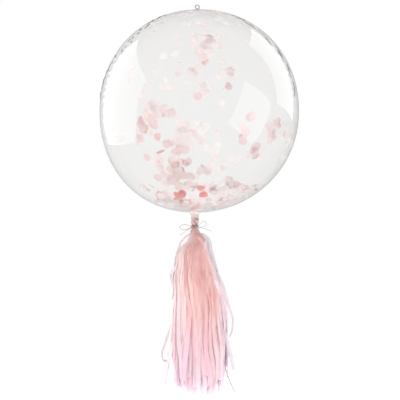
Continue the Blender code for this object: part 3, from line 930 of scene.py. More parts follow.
def strip_nodes():
    """Paths become thin closed paper strips, cupped across and crumpled along."""
    nodes = GrowingNodes("Tissue strips", {
        "Thickness": ("Float", 0.012),
        "Cupping": ("Float", 0.35),
        "Crumple": ("Float", 0.006),
        "Seed": ("Float", 0.0),
        "Material": ("Material", None),
    })
    facing = nodes.attribute("facing", "FLOAT_VECTOR")
    inputs = {"Curve": nodes.paths(), "Normal": facing}
    paths = nodes.first("GeometryNodeSetCurveNormal", inputs, mode="FREE")
    paths = nodes.store(paths, "along", nodes.first("GeometryNodeSplineParameter"))

    where = nodes.first("GeometryNodeInputPosition")
    parts = nodes.node("ShaderNodeSeparateXYZ", {0: where}).outputs
    thin = nodes.maths("MULTIPLY", parts["Y"], nodes.inputs["Thickness"])
    squared = nodes.maths("MULTIPLY", parts["X"], parts["X"])
    depth = nodes.maths("SUBTRACT", thin, nodes.maths("MULTIPLY", squared, nodes.inputs["Cupping"]))
    rim = nodes.store(nodes.circle(STRIP_CORNERS, 0.5), "across", nodes.maths("MULTIPLY", parts["X"], 2.0))
    inputs = {0: depth, 1: nodes.maths("MULTIPLY", parts["X"], -1.0)}
    flat = nodes.first("ShaderNodeCombineXYZ", inputs)
    profile = nodes.first("GeometryNodeSetPosition", {"Geometry": rim, "Position": flat})
    strips = nodes.swept(paths, profile, nodes.attribute("width"))

    here = nodes.first("GeometryNodeInputPosition")
    stretched = nodes.vector_maths("MULTIPLY", here, (1.0, 1.0, 0.45))
    inputs = {"Vector": stretched, "W": nodes.inputs["Seed"], "Scale": 38.0, "Detail": 2.0}
    wander = nodes.node("ShaderNodeTexNoise", inputs, noise_dimensions="4D").outputs["Color"]
    centred = nodes.vector_maths("SUBTRACT", wander, (0.5, 0.5, 0.5))
    reach = nodes.maths("MULTIPLY", nodes.attribute("looseness"), nodes.inputs["Crumple"])
    offset = nodes.vector_maths("SCALE", centred, reach)
    offset = nodes.vector_maths("MULTIPLY", offset, (2.0, 2.0, 0.6))
    strips = nodes.first("GeometryNodeSetPosition", {"Geometry": strips, "Offset": offset})
    nodes.end(nodes.smooth(strips))
    return nodes


def confetti_nodes():
    """A disc on each point, turned to its facing and picked by its shape number."""
    nodes = GrowingNodes("Confetti", {
        "Shapes": ("Collection", None),
        "Diameter": ("Float", 0.025),
        "Material": ("Material", None),
    })
    given = nodes.inputs
    inputs = {"Collection": given["Shapes"], "Separate Children": True, "Reset Children": True}
    shapes = nodes.first("GeometryNodeCollectionInfo", inputs)
    inputs = {
        "Primary Axis": nodes.attribute("facing", "FLOAT_VECTOR"),
        "Secondary Axis": nodes.attribute("sideways", "FLOAT_VECTOR"),
    }
    axes = {"primary_axis": "Z", "secondary_axis": "X"}
    turned = nodes.first("FunctionNodeAxesToRotation", inputs, **axes)
    inputs = {
        "Points": nodes.first("GeometryNodeMeshToPoints", {"Mesh": given["Geometry"]}),
        "Instance": shapes,
        "Pick Instance": True,
        "Instance Index": nodes.attribute("shape", "INT"),
        "Rotation": turned,
        "Scale": nodes.maths("MULTIPLY", nodes.attribute("size"), given["Diameter"]),
    }
    nodes.end(nodes.first("GeometryNodeInstanceOnPoints", inputs))
    return nodes


def strand_nodes():
    """Paths become round strands of cord."""
    nodes = GrowingNodes("Cord strands", {"Radius": ("Float", 0.0004), "Material": ("Material", None)})
    rim = nodes.circle(STRAND_CORNERS, nodes.inputs["Radius"])
    nodes.end(nodes.smooth(nodes.swept(nodes.paths(), rim, 1.0)))
    return nodes


# Shapes of the balloon


def film_outline(turn):
    """Radius, middle to the side and height of the film at an angle from the crown."""
    balloon = settings().balloon
    power = 2 / balloon.fullness
    radius = balloon.width / 2 * math.sin(turn) ** power
    rise = math.copysign(abs(math.cos(turn)) ** power, math.cos(turn))
    lean = (NECK_TO_SIDE - CROWN_TO_SIDE) * min(rise, 0.0) ** 2
    z = CROWN_Z - balloon.height / 2 + balloon.height / 2 * rise
    return radius, CROWN_TO_SIDE + lean, z


def wall_point(sideways, up, wall, inside=0.0):
    """A point on the film's wall and the way out from it, from shares of the half width
    and the half height."""
    balloon = settings().balloon
    up = max(-0.995, min(0.995, up))
    turn = math.acos(math.copysign(abs(up) ** (balloon.fullness / 2), up))
    radius, middle, z = film_outline(turn)
    x = sideways * balloon.width / 2
    most = radius * 0.985
    x = max(-most, min(most, x))
    y = math.sqrt(radius**2 - x**2) * (-1 if wall == "front" else 1)
    out = Vector((x / (balloon.width / 2), y / (balloon.width / 2), up)).normalized()
    return Vector((middle + x, y, z)) - out * inside, out


def neck_radius(drop):
    """Radius of the film's neck inside the tissue, at a drop below the tie."""
    stations = (
        (-HEAD_ABOVE_TIE, NECK_ENTRY_RADIUS),
        (-HALF_WAIST, NECK_SQUEEZED_RADIUS),
        (TIE_Z - FILM_END_Z, NECK_SQUEEZED_RADIUS),
    )
    return smooth_value(stations, 1, drop)


def seam_crease(balloon, chance, turn, y, side, length, depth):
    """Rows of one small stiff crease: a thin fin that stands off the film."""

    def seam_point(turn):
        radius, middle, z = film_outline(turn)
        return Vector((middle + side * math.sqrt(radius**2 - y**2), y, z))

    here = seam_point(turn)
    up = (here - seam_point(turn + 0.03)).normalized()
    rise = (here.z - CROWN_Z) / (balloon.height / 2) + 1
    out = Vector((here.x * 2 / balloon.width, y * 2 / balloon.width, rise)).normalized()
    here += out * seam_pucker(here.x, y, turn)
    beside = out.cross(up).normalized()
    lean = chance.gauss(0, 0.22)
    up, beside = swung(up, beside, lean), swung(beside, -up, lean)
    long = length * chance.uniform(0.5, 1.5) / 2
    deep = depth * chance.uniform(0.6, 1.2) / 2
    rows = []
    for k in range(CREASE_ROWS):
        t = 0.98 * (1 - 2 * k / (CREASE_ROWS - 1))
        swell = math.sqrt(1 - t * t)
        rows.append([
            here + up * (t * long)
            + (beside * math.cos(angle) * CREASE_FLATNESS + out * math.sin(angle)) * deep * swell
            for angle in round_steps(8)
        ])
    return rows


def seam_creases():
    """Rows of each of the creases beside the seam."""
    chance = random.Random(8)
    for stations, side, count, length, depth in SEAM_RUNS:
        first, last = stations[0][0], stations[-1][0]
        for i in range(count):
            degrees = first + (last - first) * (i + chance.uniform(0.1, 0.9)) / count
            y = smooth_value(stations, 1, degrees) + chance.gauss(0, 0.007)
            turn = math.radians(degrees)
            yield seam_crease(settings().balloon, chance, turn, y, side, length, depth)


def seam_pucker(x, y, turn):
    """Outward push of the small wrinkles along the welded seam, which runs over the
    crown from side to side."""
    along = settings().balloon.height / 2 * turn
    strength = 1.0 if x < 0 else 0.7
    strength *= smooth_step(0.25, 0.6, turn) * (1 - 0.8 * smooth_step(1.45, 1.95, turn))
    fold = math.sin(2 * math.pi * along / 0.024 + 2.0 * math.sin(along * 31))
    fold += 0.5 * math.sin(2 * math.pi * along / 0.015 + 3.0 * math.sin(along * 17 + 1))
    return SEAM_PUCKER * strength * fold * math.exp(-(((y + SEAM_AHEAD) / SEAM_REACH) ** 2))


def level_row(angles, radius, middle, z, creases, depth, sharp, twist=0.0):
    """A level row round the film, with creases of a depth that is a share of its radius."""
    row = []
    for angle in angles:
        wave = math.cos(creases * angle + twist + 0.9 * math.sin(3 * angle))
        wave = math.copysign(abs(wave) ** sharp, wave)
        reach = radius * (1 + depth * wave)
        row.append(spoke(reach, angle, z, middle))
    return row


def film_rows(inside):
    """Rows of the film from its crown to the end of its neck, a distance inside it."""
    balloon = settings().balloon
    chance = random.Random(5)
    waves = [(chance.randint(3, 11), chance.uniform(0, 6.3), chance.uniform(0.5, 1.0)) for _ in range(5)]
    # The rows' points lie closer where the seam is
    angles = [t - 0.33 * math.sin(2 * t) for t in round_steps(FILM_POINTS)]
    rows = []

    def turn_at(radius):
        return math.asin((2 * radius / balloon.width) ** (balloon.fullness / 2))

    first, last = turn_at(CROWN_FLAT_RADIUS), math.pi - turn_at(NECK_TOP_RADIUS)
    half = math.pi / 2
    turns = [first + (half - first) * i / ROWS_ABOVE for i in range(ROWS_ABOVE)]
    turns += [half + (last - half) * i / ROWS_BELOW for i in range(ROWS_BELOW + 1)]
    for turn in turns:
        radius, middle, z = film_outline(turn)
        radius -= inside * max(0.3, math.sin(turn))
        z -= inside * math.cos(turn)
        creases, depth = CROWN_CREASES, 0.012 * math.exp(-radius / 0.030)
        if turn > half:
            creases, depth = NECK_CREASES, 0.020 * math.exp(-radius / 0.042)
        row = level_row(angles, radius, middle, z, creases, depth, 0.8)
        for angle, point in zip(angles, row):
            ripple = sum(k * math.sin(n * angle + p + 2.2 * math.sin(turn * 2 + p)) for n, p, k in waves)
            push = FILM_RIPPLE * ripple * math.sin(turn) ** 2
            push += seam_pucker(point.x, point.y, turn)
            point += spoke(push * math.sin(turn), angle, push * math.cos(turn))
        rows.append(row)
    for share, swell, depth in NECK_STATIONS:
        radius = NECK_RADIUS * swell - inside
        z = CROWN_Z - balloon.height - NECK_SHOWN * share
        rows.append(level_row(angles, radius, NECK_TO_SIDE, z, NECK_CREASES, depth, 0.7, share * 0.8))
    end = TIE_Z - FILM_END_Z
    for i in range(ROWS_WRAPPED + 1):
        drop = -HEAD_ABOVE_TIE + (end + HEAD_ABOVE_TIE) * i / ROWS_WRAPPED
        radius = neck_radius(drop) - inside
        z = TIE_Z - drop + (inside if i == ROWS_WRAPPED else 0.0)
        rows.append(level_row(angles, radius, NECK_TO_SIDE, z, NECK_CREASES, 0.10, 0.8, 0.8))
    return rows


def make_film():
    """The clear balloon: an outer and an inner skin that close at the neck's end."""
    balloon = settings().balloon
    build = bmesh.new()
    add_rows(build, film_rows(0.0))
    count = len(build.faces)
    add_rows(build, film_rows(balloon.film))
    build.faces.ensure_lookup_table()
    bmesh.ops.reverse_faces(build, faces=build.faces[count:])
    skins = len(build.faces)
    for rows in seam_creases():
        add_rows(build, rows)
    mesh = mesh_of("balloon_film", build)
    mesh.shade_smooth()
    mesh.materials.append(film_material("clear_film", balloon.tint, 0.0, 1.0))
    mesh.materials.append(film_material("gathered_film", (0.86, 0.78, 0.755), 0.22, 0.40))
    # The creases by the seam are real; their dark grey is painted shade for the dark lines they show in
    # the clear film
    mesh.materials.append(film_material("creased_film", (0.26, 0.26, 0.255), 0.25, 0.3))
    gathered_below = CROWN_Z - balloon.height + 0.0004
    for face in mesh.polygons:
        if face.center.z < gathered_below:
            face.material_index = 1
        elif face.index >= skins:
            face.material_index = 2
    film = place("balloon_film", mesh, "clear_film")
    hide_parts("balloon")


# Confetti


def disc_shape(name, bend):
    """A thin closed disc of one metre, bent across its width."""
    thick = settings().confetti.thickness / settings().confetti.diameter
    rows = []
    for radius, side in ((0.27, 0.5), (0.5, 0.5), (0.5, -0.5), (0.27, -0.5)):
        places = [(radius * math.cos(a), radius * math.sin(a)) for a in round_steps(DISC_CORNERS)]
        rows.append([(x, y, bend * 4 * x * x + side * thick) for x, y in places])
    build = bmesh.new()
    add_rows(build, rows)
    return bpy.data.objects.new(name, mesh_of(name, build))


def disc_place(chance, sideways, up, wall, tone, tilt, inside=0.0):
    """A disc's point, its facing, a way across it, its tone, its size and its shape."""
    lean = math.radians(abs(chance.gauss(0, tilt)))
    lean = min(lean, math.radians(88))
    clear = DISC_GAP + math.sin(lean) * settings().confetti.diameter / 2 + inside
    point, out = wall_point(sideways, up, wall, clear)
    side = out.cross(Vector((0.31, 0.2, 0.93))).normalized()
    spin = chance.uniform(0, 2 * math.pi)
    across = swung(side, out.cross(side), spin)
    facing = swung(out, across, lean)
    turned = across.cross(facing)
    if lean < 0.001:
        turned = facing.cross(turned)
    shape = chance.choices((0, 1, 2), (5, 4, 2))[0]
    tone = max(0.0, min(1.0, tone))
    return point, -facing, turned.normalized(), tone, chance.uniform(0.94, 1.04), shape


def confetti_places(chance):
    """The place of every disc: in groups, scattered, under the crown and in the bowl."""
    discs = []

    def add(*where, **more):
        discs.append(disc_place(chance, *where, **more))

    def on_cap(widest, least, power, way):
        """A place near the top or the bottom: to the side, up, its wall, and its reach."""
        angle = chance.uniform(0, 2 * math.pi)
        reach = widest * chance.uniform(least, 1) ** power
        wall = "front" if math.sin(angle) < 0 else "back"
        return reach * math.cos(angle), way * math.sqrt(1 - reach**2), wall, reach

    for side, up, wall, spread_side, spread_up, count, tone, tilt in CONFETTI_GROUPS:
        for _ in range(count):
            sideways = side + chance.gauss(0, spread_side * GROUP_SPREAD)
            height = up + chance.gauss(0, spread_up * GROUP_SPREAD)
            add(sideways, height, wall, tone + chance.gauss(0, TONE_SPREAD), tilt)
    for _ in range(SCATTERED_DISCS):
        sideways, up = chance.uniform(-0.85, 0.85), chance.uniform(-0.75, 0.8)
        wall = chance.choice(("front", "back", "back"))
        add(sideways, up, wall, abs(chance.gauss(0.08, 0.15)), 30)
    for _ in range(CROWN_DISCS):
        sideways, up, wall, _ = on_cap(0.62, 0.02, 0.5, 1)
        add(sideways, up, wall, chance.gauss(0.18, 0.12), 15)
    for _ in range(BOWL_DISCS):
        sideways, up, wall, reach = on_cap(0.66, 0.04, 0.7, -1)
        tone = chance.gauss(0.34, 0.16) if chance.random() < 0.92 else chance.uniform(0.6, 0.9)
        inside = abs(chance.gauss(0, 0.012)) * (1.0 - reach)
        add(sideways + 0.04, up, wall, tone, 26, inside=inside)
    for _ in range(HEAP_DISCS):
        sideways, up, wall, _ = on_cap(0.42, 0.02, 0.6, -1)
        add(sideways, up, wall, chance.gauss(0.28, 0.12), 22, inside=abs(chance.gauss(0, 0.006)))
    return discs


def make_confetti():
    """Paper discs that cling to the film and lie in its bowl."""
    paper = settings().confetti
    discs = confetti_places(random.Random(paper.seed))
    points, *facts = zip(*discs)
    labels = ("facing", "sideways", "tone", "size", "shape")
    mesh = mesh_with("confetti_places", points, [], dict(zip(labels, facts)))

    shapes = bpy.data.collections.new("disc_shapes")
    for i, bend in enumerate(DISC_BENDS):
        shapes.objects.link(disc_shape(f"disc_{i}", bend))
    values = {"Shapes": shapes, "Diameter": paper.diameter, "Material": confetti_material()}
    made = grown(mesh, confetti_nodes(), values)
    for shape in list(shapes.objects):
        bpy.data.objects.remove(shape, do_unlink=True)
    bpy.data.collections.remove(shapes)
    made.name = "confetti"
    place("confetti", made, "blush_tissue")


# Tassel


def head_twist(drop):
    """Angle by which the wrapped tissue has turned, at a drop below the tie."""
    return HEAD_TWIST * max(0.0, TRUNK_BELOW_TIE - drop) / (TRUNK_BELOW_TIE + HEAD_ABOVE_TIE)


def fringe_outline():
    """Stations of the fringe, from the trunk down."""
    tassel = settings().tassel
    start = (TRUNK_BELOW_TIE / tassel.drop, (TRUNK_RADIUS - STRIP_THICKNESS) / tassel.half_width, 0.00)
    return (start, *FRINGE_STATIONS)


def fringe_half_width(drop):
    if drop < TRUNK_BELOW_TIE:
        return straight_value(HEAD_OUTLINE, drop) - STRIP_THICKNESS
    tassel = settings().tassel
    return tassel.half_width * smooth_value(fringe_outline(), 1, drop / tassel.drop)


def fringe_middle(drop):
    tassel = settings().tassel
    shift = tassel.half_width * smooth_value(fringe_outline(), 2, drop / tassel.drop)
    return Vector((NECK_TO_SIDE + shift, 0.0, TIE_Z - drop))


def strip_rows(angle, share, crowd, tilt, flare, tip, phase):
    """Points of one hanging strip, each with its facing, its width and its looseness.
    The strip is narrow where it is gathered."""
    tassel = settings().tassel
    rows = []

    def on_strip(drop):
        down = drop / tassel.drop
        ripple = FRINGE_RIPPLE * down * math.sin(5 * angle + 2 * math.pi * 2.7 * down)
        wander = FRINGE_WANDER * down * math.sin(phase + 7.0 * down)
        reach = share * fringe_half_width(drop) * (1 + flare * (drop / tip) ** 3 + ripple)
        turned = angle + FRINGE_SWIRL * down + ripple + wander + head_twist(drop)
        return fringe_middle(drop) + spoke(reach, turned, 0.0)

    for i in range(STRIP_STATIONS):
        along = (i / (STRIP_STATIONS - 1)) ** 1.25
        drop = STRIP_START + (tip - STRIP_START) * along
        here = on_strip(drop)
        down = (on_strip(drop + 0.002) - here).normalized()
        from_middle = here - fringe_middle(drop)
        sideways = down.cross(from_middle).normalized()
        outward = sideways.cross(down).normalized()
        opened = smooth_step(0.02, 0.30, along)
        turn = tilt * opened + 0.26 * opened * math.sin(phase * 2 + 9 * along)
        facing = swung(outward, sideways, turn)
        room = 2 * math.pi * from_middle.length / crowd
        width = min(tassel.strip_width, max(LEAST_STRIP_WIDTH, 2.6 * room))
        rows.append((here, facing, width, smooth_step(0.0, 0.25, along)))
    return rows


def stray_rows(points, width, turn_start, turn_end):
    """The same for a strip that has come away, on a smooth line through given points."""
    points = [Vector(p) for p in points]
    rows = []
    for i in range(STRAY_STATIONS):
        along = i / (STRAY_STATIONS - 1)
        t = along * (len(points) - 1)
        k = min(int(t), len(points) - 2)
        down = (points[k + 1] - points[k]).normalized()
        turn = math.radians(turn_start + (turn_end - turn_start) * along)
        toward = Vector((math.sin(turn), -math.cos(turn), 0.0))
        facing = (toward - down * toward.dot(down)).normalized()
        taper = 0.25 + 0.75 * smooth_step(0.0, 0.15, along)
        rows.append((on_curve(points, k, t - k), facing, width * taper, 0.25))
    return rows


def fringe_strips(name, middle_angle, chance):
    """The strips of one sheet: rows, tone and cast. A cast is rosy below 0, and painted grey shade above.
    """
    tassel = settings().tassel
    strips = []
    for share, count, most_tilt in STRIP_RINGS:
        crowd = count * len(SHEETS)
        for i in range(count):
            beside = i - (count - 1) / 2 + chance.uniform(-0.25, 0.25)
            angle = middle_angle + beside * SHEET_SPREAD / count
            tip = tassel.drop * (1 - 0.05 * math.cos(angle) ** 2 - 0.13 * chance.random() ** 1.6)
            flare = 0.16 * chance.random() ** 2 - 0.05
            tilt = chance.uniform(-most_tilt, most_tilt)
            phase = chance.uniform(0, 2 * math.pi)
            reach = share * chance.uniform(0.95, 1.04)
            usual = 0.44 - 0.34 * math.cos(3 * (angle - DEEPEST_ANGLE))
            # Outer strips take a random tone; inner strips are painted pale, as painted light where shade
            # falls between the layers
            tone = max(0.0, min(1.0, chance.gauss(usual, 0.18))) if share > 0.85 else 1.0
            cast = min(0.0, chance.gauss(0.0, 0.35))
            rows = strip_rows(angle, reach, crowd, tilt, flare, tip, phase)
            strips.append((rows, tone, cast))
    for sheet, width, cast, start, end, points in STRAY_STRIPS:
        if sheet == name:
            strips.append((stray_rows(points, width, start, end), 1.0 if cast > 0 else 0.3, cast))
    return strips


def paths_mesh(name, strips):
    """The strips' paths, with what the nodes need along them."""
    stations, edges = [], []
    for rows, tone, cast in strips:
        start = len(stations)
        stations += [(*row, tone, cast) for row in rows]
        edges += [(i, i + 1) for i in range(start, len(stations) - 1)]
    points, *facts = zip(*stations)
    labels = ("facing", "width", "looseness", "tone", "cast")
    return mesh_with(name, points, edges, dict(zip(labels, facts)))


def head_rows(middle_angle, chance):
    """Rows of one sheet's wrapped band, from its rolled top edge to the trunk."""
    phases = [chance.uniform(0, 2 * math.pi) for _ in HEAD_FOLDS]
    drops = []
    for (a, _), (b, _) in zip(HEAD_OUTLINE, HEAD_OUTLINE[1:]):
        steps = max(2, round((b - a) / HEAD_ROW_STEP))
        drops += [a + (b - a) * i / steps for i in range(steps)]
    drops.append(TRUNK_BELOW_TIE)
    end = TIE_Z - FILM_END_Z
    rows = []
    for drop in drops:
        outside = straight_value(HEAD_OUTLINE, drop)
        inside = neck_radius(drop) + HEAD_TO_NECK if drop <= end else HEAD_CORE_RADIUS
        if end < drop < end + 0.002:
            inside = 0.0030
        middle = middle_angle + head_twist(drop)
        row = []
        for i in range(HEAD_OUTER_POINTS):
            share = i / (HEAD_OUTER_POINTS - 1) - 0.5
            fold = sum(
                k * math.sin(n * share + p + slope * drop)
                for (k, n, slope), p in zip(HEAD_FOLDS, phases)
            )
            edge = min(1.0, (0.5 - abs(share)) * 10)
            angle = middle + share * (SHEET_SPREAD - SHEET_GAP / outside)
            row.append((angle, outside * 0.975 + HEAD_FOLD_DEPTH * fold * edge))
        for i in range(HEAD_INNER_POINTS):
            share = 0.5 - i / (HEAD_INNER_POINTS - 1)
            angle = middle + share * (SHEET_SPREAD - 2 * SHEET_GAP / max(inside, 0.001))
            row.append((angle, inside))
        rows.append([spoke(reach, angle, TIE_Z - drop, NECK_TO_SIDE) for angle, reach in row])
    return rows


def head_mesh(name, middle_angle, chance):
    """One sheet's wrapped band, which lies round the neck."""
    build = bmesh.new()
    add_rows(build, head_rows(middle_angle, chance))
    bmesh.ops.triangulate(build, faces=[f for f in build.faces if len(f.verts) > 4])
    bmesh.ops.recalc_face_normals(build, faces=build.faces)
    for face in build.faces:
        face.smooth = True
    return mesh_of(name, build)


def painted_head_shade(point):
    """How much darker the wrapped head is painted: somewhat over the whole head, and most where painted
    shade falls at the rolled edge, under the cord and along one fold.
    """
    drop = TIE_Z - point.z
    angle = math.atan2(point.y, point.x - NECK_TO_SIDE)
    rolled = math.exp(-(((drop + HEAD_ABOVE_TIE - 0.0035) / 0.0022) ** 2))
    rolled *= (0.5 + 0.5 * math.cos(angle + 0.6)) ** 3
    tied = math.exp(-((drop / 0.0065) ** 2))
    fold = math.exp(-(((angle + 0.609 - 66.8 * drop) / 0.20) ** 2))
    fold *= smooth_step(0.022, 0.018, -drop) * smooth_step(0.003, 0.008, -drop)
    return min(1.0, 0.56 * smooth_step(0.016, -0.004, drop) + 0.45 * rolled + 0.28 * tied + 0.36 * fold)


def make_tissue_sheet(name, middle_angle, colour, number):
    """One sheet of the tassel: its wrapped band and its fringe."""
    tassel = settings().tassel
    chance = random.Random(tassel.seed * 100 + number)
    material = tissue_material(name, colour)
    paths = paths_mesh(name + "_paths", fringe_strips(name, middle_angle, chance))
    values = {"Crumple": tassel.crumple, "Seed": float(number), "Material": material}
    fringe = grown(paths, strip_nodes(), values)
    head = head_mesh(name + "_head", middle_angle, chance)
    build = bmesh.new()
    build.from_mesh(fringe)
    tone_layer = build.verts.layers.float["tone"]
    head_shade_layer = build.verts.layers.float.new("wrapped")
    start = len(build.verts)
    build.from_mesh(head)
    build.verts.ensure_lookup_table()
    for vert in build.verts[start:]:
        vert[tone_layer] = 0.3
        # The head carries its painted shade
        vert[head_shade_layer] = painted_head_shade(vert.co)
    for spent in (fringe, head):
        bpy.data.meshes.remove(spent)
    mesh = mesh_of(name, build)
    mesh.materials.clear()
    mesh.materials.append(material)
    sheet = place(name + "_fringe", mesh, name)
    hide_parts(name)


# Cord


def smooth_route(stations, step):
    """Points a step apart on a smooth curve through the stations, and its length."""
    stations = [Vector(s) for s in stations]
    fine = []
    for i in range(len(stations) - 1):
        fine += [on_curve(stations, i, k / CURVE_STEPS) for k in range(CURVE_STEPS)]
    fine.append(stations[-1])
    lengths = [0.0]
    for a, b in zip(fine, fine[1:]):
        lengths.append(lengths[-1] + (b - a).length)
    steps = max(2, round(lengths[-1] / step))
    route = []
    at = 0
    for i in range(steps + 1):
        target = lengths[-1] * i / steps
        while at < len(fine) - 2 and lengths[at + 1] < target:
            at += 1
        share = (target - lengths[at]) / (lengths[at + 1] - lengths[at])
        route.append(fine[at].lerp(fine[at + 1], share))
    return route, lengths[-1]


def strand_points(route):
    """Points of the strands that are twisted along a route, one list for each strand."""
    offset = settings().cord.diameter / 2 * STRAND_OFFSET
    strands = [[] for _ in range(CORD_STRANDS)]
    normal = None
    walked = 0.0
    for i, here in enumerate(route):
        ahead = (route[min(i + 1, len(route) - 1)] - route[max(i - 1, 0)]).normalized()
        if normal is None:
            normal = ahead.orthogonal().normalized()
        normal = (normal - ahead * normal.dot(ahead)).normalized()
        walked += (here - route[max(i - 1, 0)]).length
        for number, strand in enumerate(strands):
            angle = 2 * math.pi * (number / CORD_STRANDS + walked / CORD_LAY)
            strand.append(here + swung(normal, ahead.cross(normal), angle) * offset)
    return strands


def twisted_cord(name, routes, material, shades=((0.0, 0.0),)):
    """A mesh of twisted strands along the routes, with the amount of painted shade at each
    one's start and end."""
    points, edges, values = [], [], []
    for route, (first, last) in zip(routes, shades):
        for strand in strand_points(route):
            start = len(points)
            points += strand
            edges += [(i, i + 1) for i in range(start, len(points) - 1)]
            values += [first + (last - first) * i / len(route) for i in range(len(route))]
    mesh = mesh_with(name, points, edges, {"shade": values})
    radius = settings().cord.diameter * STRAND_RADIUS
    made = grown(mesh, strand_nodes(), {"Radius": radius, "Material": material})
    made.name = name
    return made


def make_loose_cord(name, route, side, material, shades=(0.0, 0.0)):
    """One loop or tail of the bow."""
    half = (KNOT_HIGH.x - KNOT_LOW.x) / 2
    face = KNOT_MIDDLE + Vector((side * (half + FACE_CLEARANCE), 0, 0))
    stations = [face + Vector((x, -towards, up)) for x, towards, up in route]
    fine, _ = smooth_route(stations, FINE_STEP)
    path, length = smooth_route(stations, PATH_STEP)
    cord = place(name + "_cord", twisted_cord(name + "_cord", [fine], material, (shades,)), "grey_cord")
    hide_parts(name)


def make_tied_cord(material):
    """The turns of cord round the waist and the knot of the bow."""
    diameter = settings().cord.diameter
    radius = (WRAPS_HIGH.y - WRAPS_LOW.y) / 2 - diameter / 2
    wraps = []
    for i in range(WRAP_TURNS * WRAP_STEPS + 1):
        turn = i / WRAP_STEPS
        angle = 2 * math.pi * turn - math.pi / 2
        z = TIE_Z + (WRAP_TURNS / 2 - turn) * WRAP_PITCH
        wraps.append(spoke(radius, angle, z, NECK_TO_SIDE))
    reach = [(size - diameter) / 2 for size in KNOT_HIGH - KNOT_LOW]
    knot = []
    for i in range(KNOT_STEPS + 1):
        t = 2 * math.pi * i / KNOT_STEPS
        x = (math.sin(t) + 2 * math.sin(2 * t)) / 3.0
        z = (math.cos(t) - 2 * math.cos(2 * t)) / 3.0
        y = -math.sin(3 * t)
        knot.append(KNOT_MIDDLE + Vector((x * reach[0], y * reach[1], z * reach[2])))
    # Painted shade on the turns round the waist and on the knot
    shades = ((0.85, 0.85), (0.60, 0.60))
    tied = place("tied_cord", twisted_cord("tied_cord", [wraps, knot], material, shades), "grey_cord")
    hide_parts("cord_wraps", "bow_knot")


# Ring


def make_ring():
    """The hanging ring with its stem and flared foot, as one smooth moulding."""
    outer = (RING_HIGH.x - RING_LOW.x) / 2
    centre = Vector((0.0, 0.0, RING_HIGH.z - outer))
    half = RING_WIRE / 2
    build = bmesh.new()
    rows = []
    for a in round_steps(RING_STEPS):
        out = Vector((math.sin(a), 0.0, math.cos(a)))
        rows.append([
            centre + out * (outer - half + half * math.cos(b)) + Vector((0.0, half * math.sin(b), 0.0))
            for b in round_steps(WIRE_STEPS)
        ])
    add_rows(build, rows, ring=True)
    profile = [(radius, centre.z - outer + RING_WIRE * share) for radius, share in RING_STEM]
    profile += [(radius, RING_LOW.z + height) for radius, height in RING_FOOT]
    add_rows(build, [[spoke(radius, a, z) for a in round_steps(FOOT_STEPS)] for radius, z in profile])
    bmesh.ops.recalc_face_normals(build, faces=build.faces)
    mesh = mesh_of("hanging_eyelet", build)
    mesh.shade_smooth()
    mesh.set_sharp_from_angle(angle=math.radians(60))
    mesh.materials.append(ring_material())
    ring = place("hanging_eyelet", mesh, "ring_plastic")
    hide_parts("hanging_ring")


# Stage


def add_softbox(name, bearing, height, roll, distance, size, strength, mirrored):
    """A rectangle of light that faces the balloon, which either its film mirrors or its
    matt parts take light from. A bearing of 0 is behind it, and 90 is at its right."""
    middle = Vector((CROWN_TO_SIDE, 0, CROWN_Z - settings().balloon.height / 2))
    angle, rise = math.radians(bearing), math.radians(height)
    way = Vector((math.sin(angle) * math.cos(rise), math.cos(angle) * math.cos(rise), math.sin(rise)))
    lamp = bpy.data.lights.new(name, "AREA")
    lamp.shape = "RECTANGLE"
    lamp.size, lamp.size_y = size
    lamp.energy = strength * math.pi * size[0] * size[1]
    box = bpy.data.objects.new(name, lamp)
    bpy.context.scene.collection.objects.link(box)
    box.location = middle + way * distance
    turned = (-way).to_track_quat("-Z", "Y") @ Quaternion((0, 0, 1), math.radians(roll))
    box.rotation_euler = turned.to_euler()
    box.visible_camera = False
    box.visible_transmission = False
    box.visible_glossy = mirrored
    box.visible_diffuse = not mirrored


def make_world():
    """A white room. What shows in gloss is a little darker than the backdrop."""
    stage = settings().stage
    world = bpy.data.worlds.new("studio")
    bpy.context.scene.world = world
    world.use_nodes = True
    room = Nodes(world.node_tree)
    maths = room.maths
    ray = room.node("ShaderNodeLightPath").outputs
    through = maths("SUBTRACT", ray["Is Transmission Ray"], ray["Is Diffuse Ray"])
    straight = maths("MAXIMUM", ray["Is Camera Ray"], through)
    paper = maths("ADD", ray["Diffuse Depth"], maths("MODULO", ray["Transmission Depth"], 2.0))
    seen = maths("GREATER_THAN", straight, paper)

    where = room.node("ShaderNodeTexCoord").outputs["Generated"]
    x, y, z = room.node("ShaderNodeSeparateXYZ", {0: where}).outputs
    behind = room.between(y, -0.6, 0.9, stage.room, stage.backdrop, "SMOOTHSTEP")
    above = room.between(z, 0.2, 0.9, 1.0, 0.15, "SMOOTHSTEP")
    right = room.between(x, -0.1, 0.8, 1.0, 0.5, "SMOOTHSTEP")
    in_gloss = maths("MULTIPLY", maths("MULTIPLY", behind, right), above)

    bounces = maths("SUBTRACT", maths("ADD", ray["Diffuse Depth"], ray["Transmission Depth"]), 1.0)
    bounces = maths("MINIMUM", maths("MAXIMUM", bounces, 0.0), 3.0)
    on_paper = maths("MULTIPLY_ADD", bounces, stage.folds, stage.ambient)
    on_matt = room.between(through, 0.0, 1.0, on_paper, stage.inside)
    mirrored = maths("MULTIPLY", ray["Is Glossy Ray"], ray["Is Reflection Ray"])
    unseen = room.between(mirrored, 0.0, 1.0, on_matt, in_gloss)
    strength = room.node("ShaderNodeMix", {"Factor": seen, "A": unseen, "B": 1.0}).outputs["Result"]
    background = world.node_tree.nodes["Background"]
    room.feed(background.inputs["Color"], (1.0, 1.0, 1.0))
    room.feed(background.inputs["Strength"], strength)


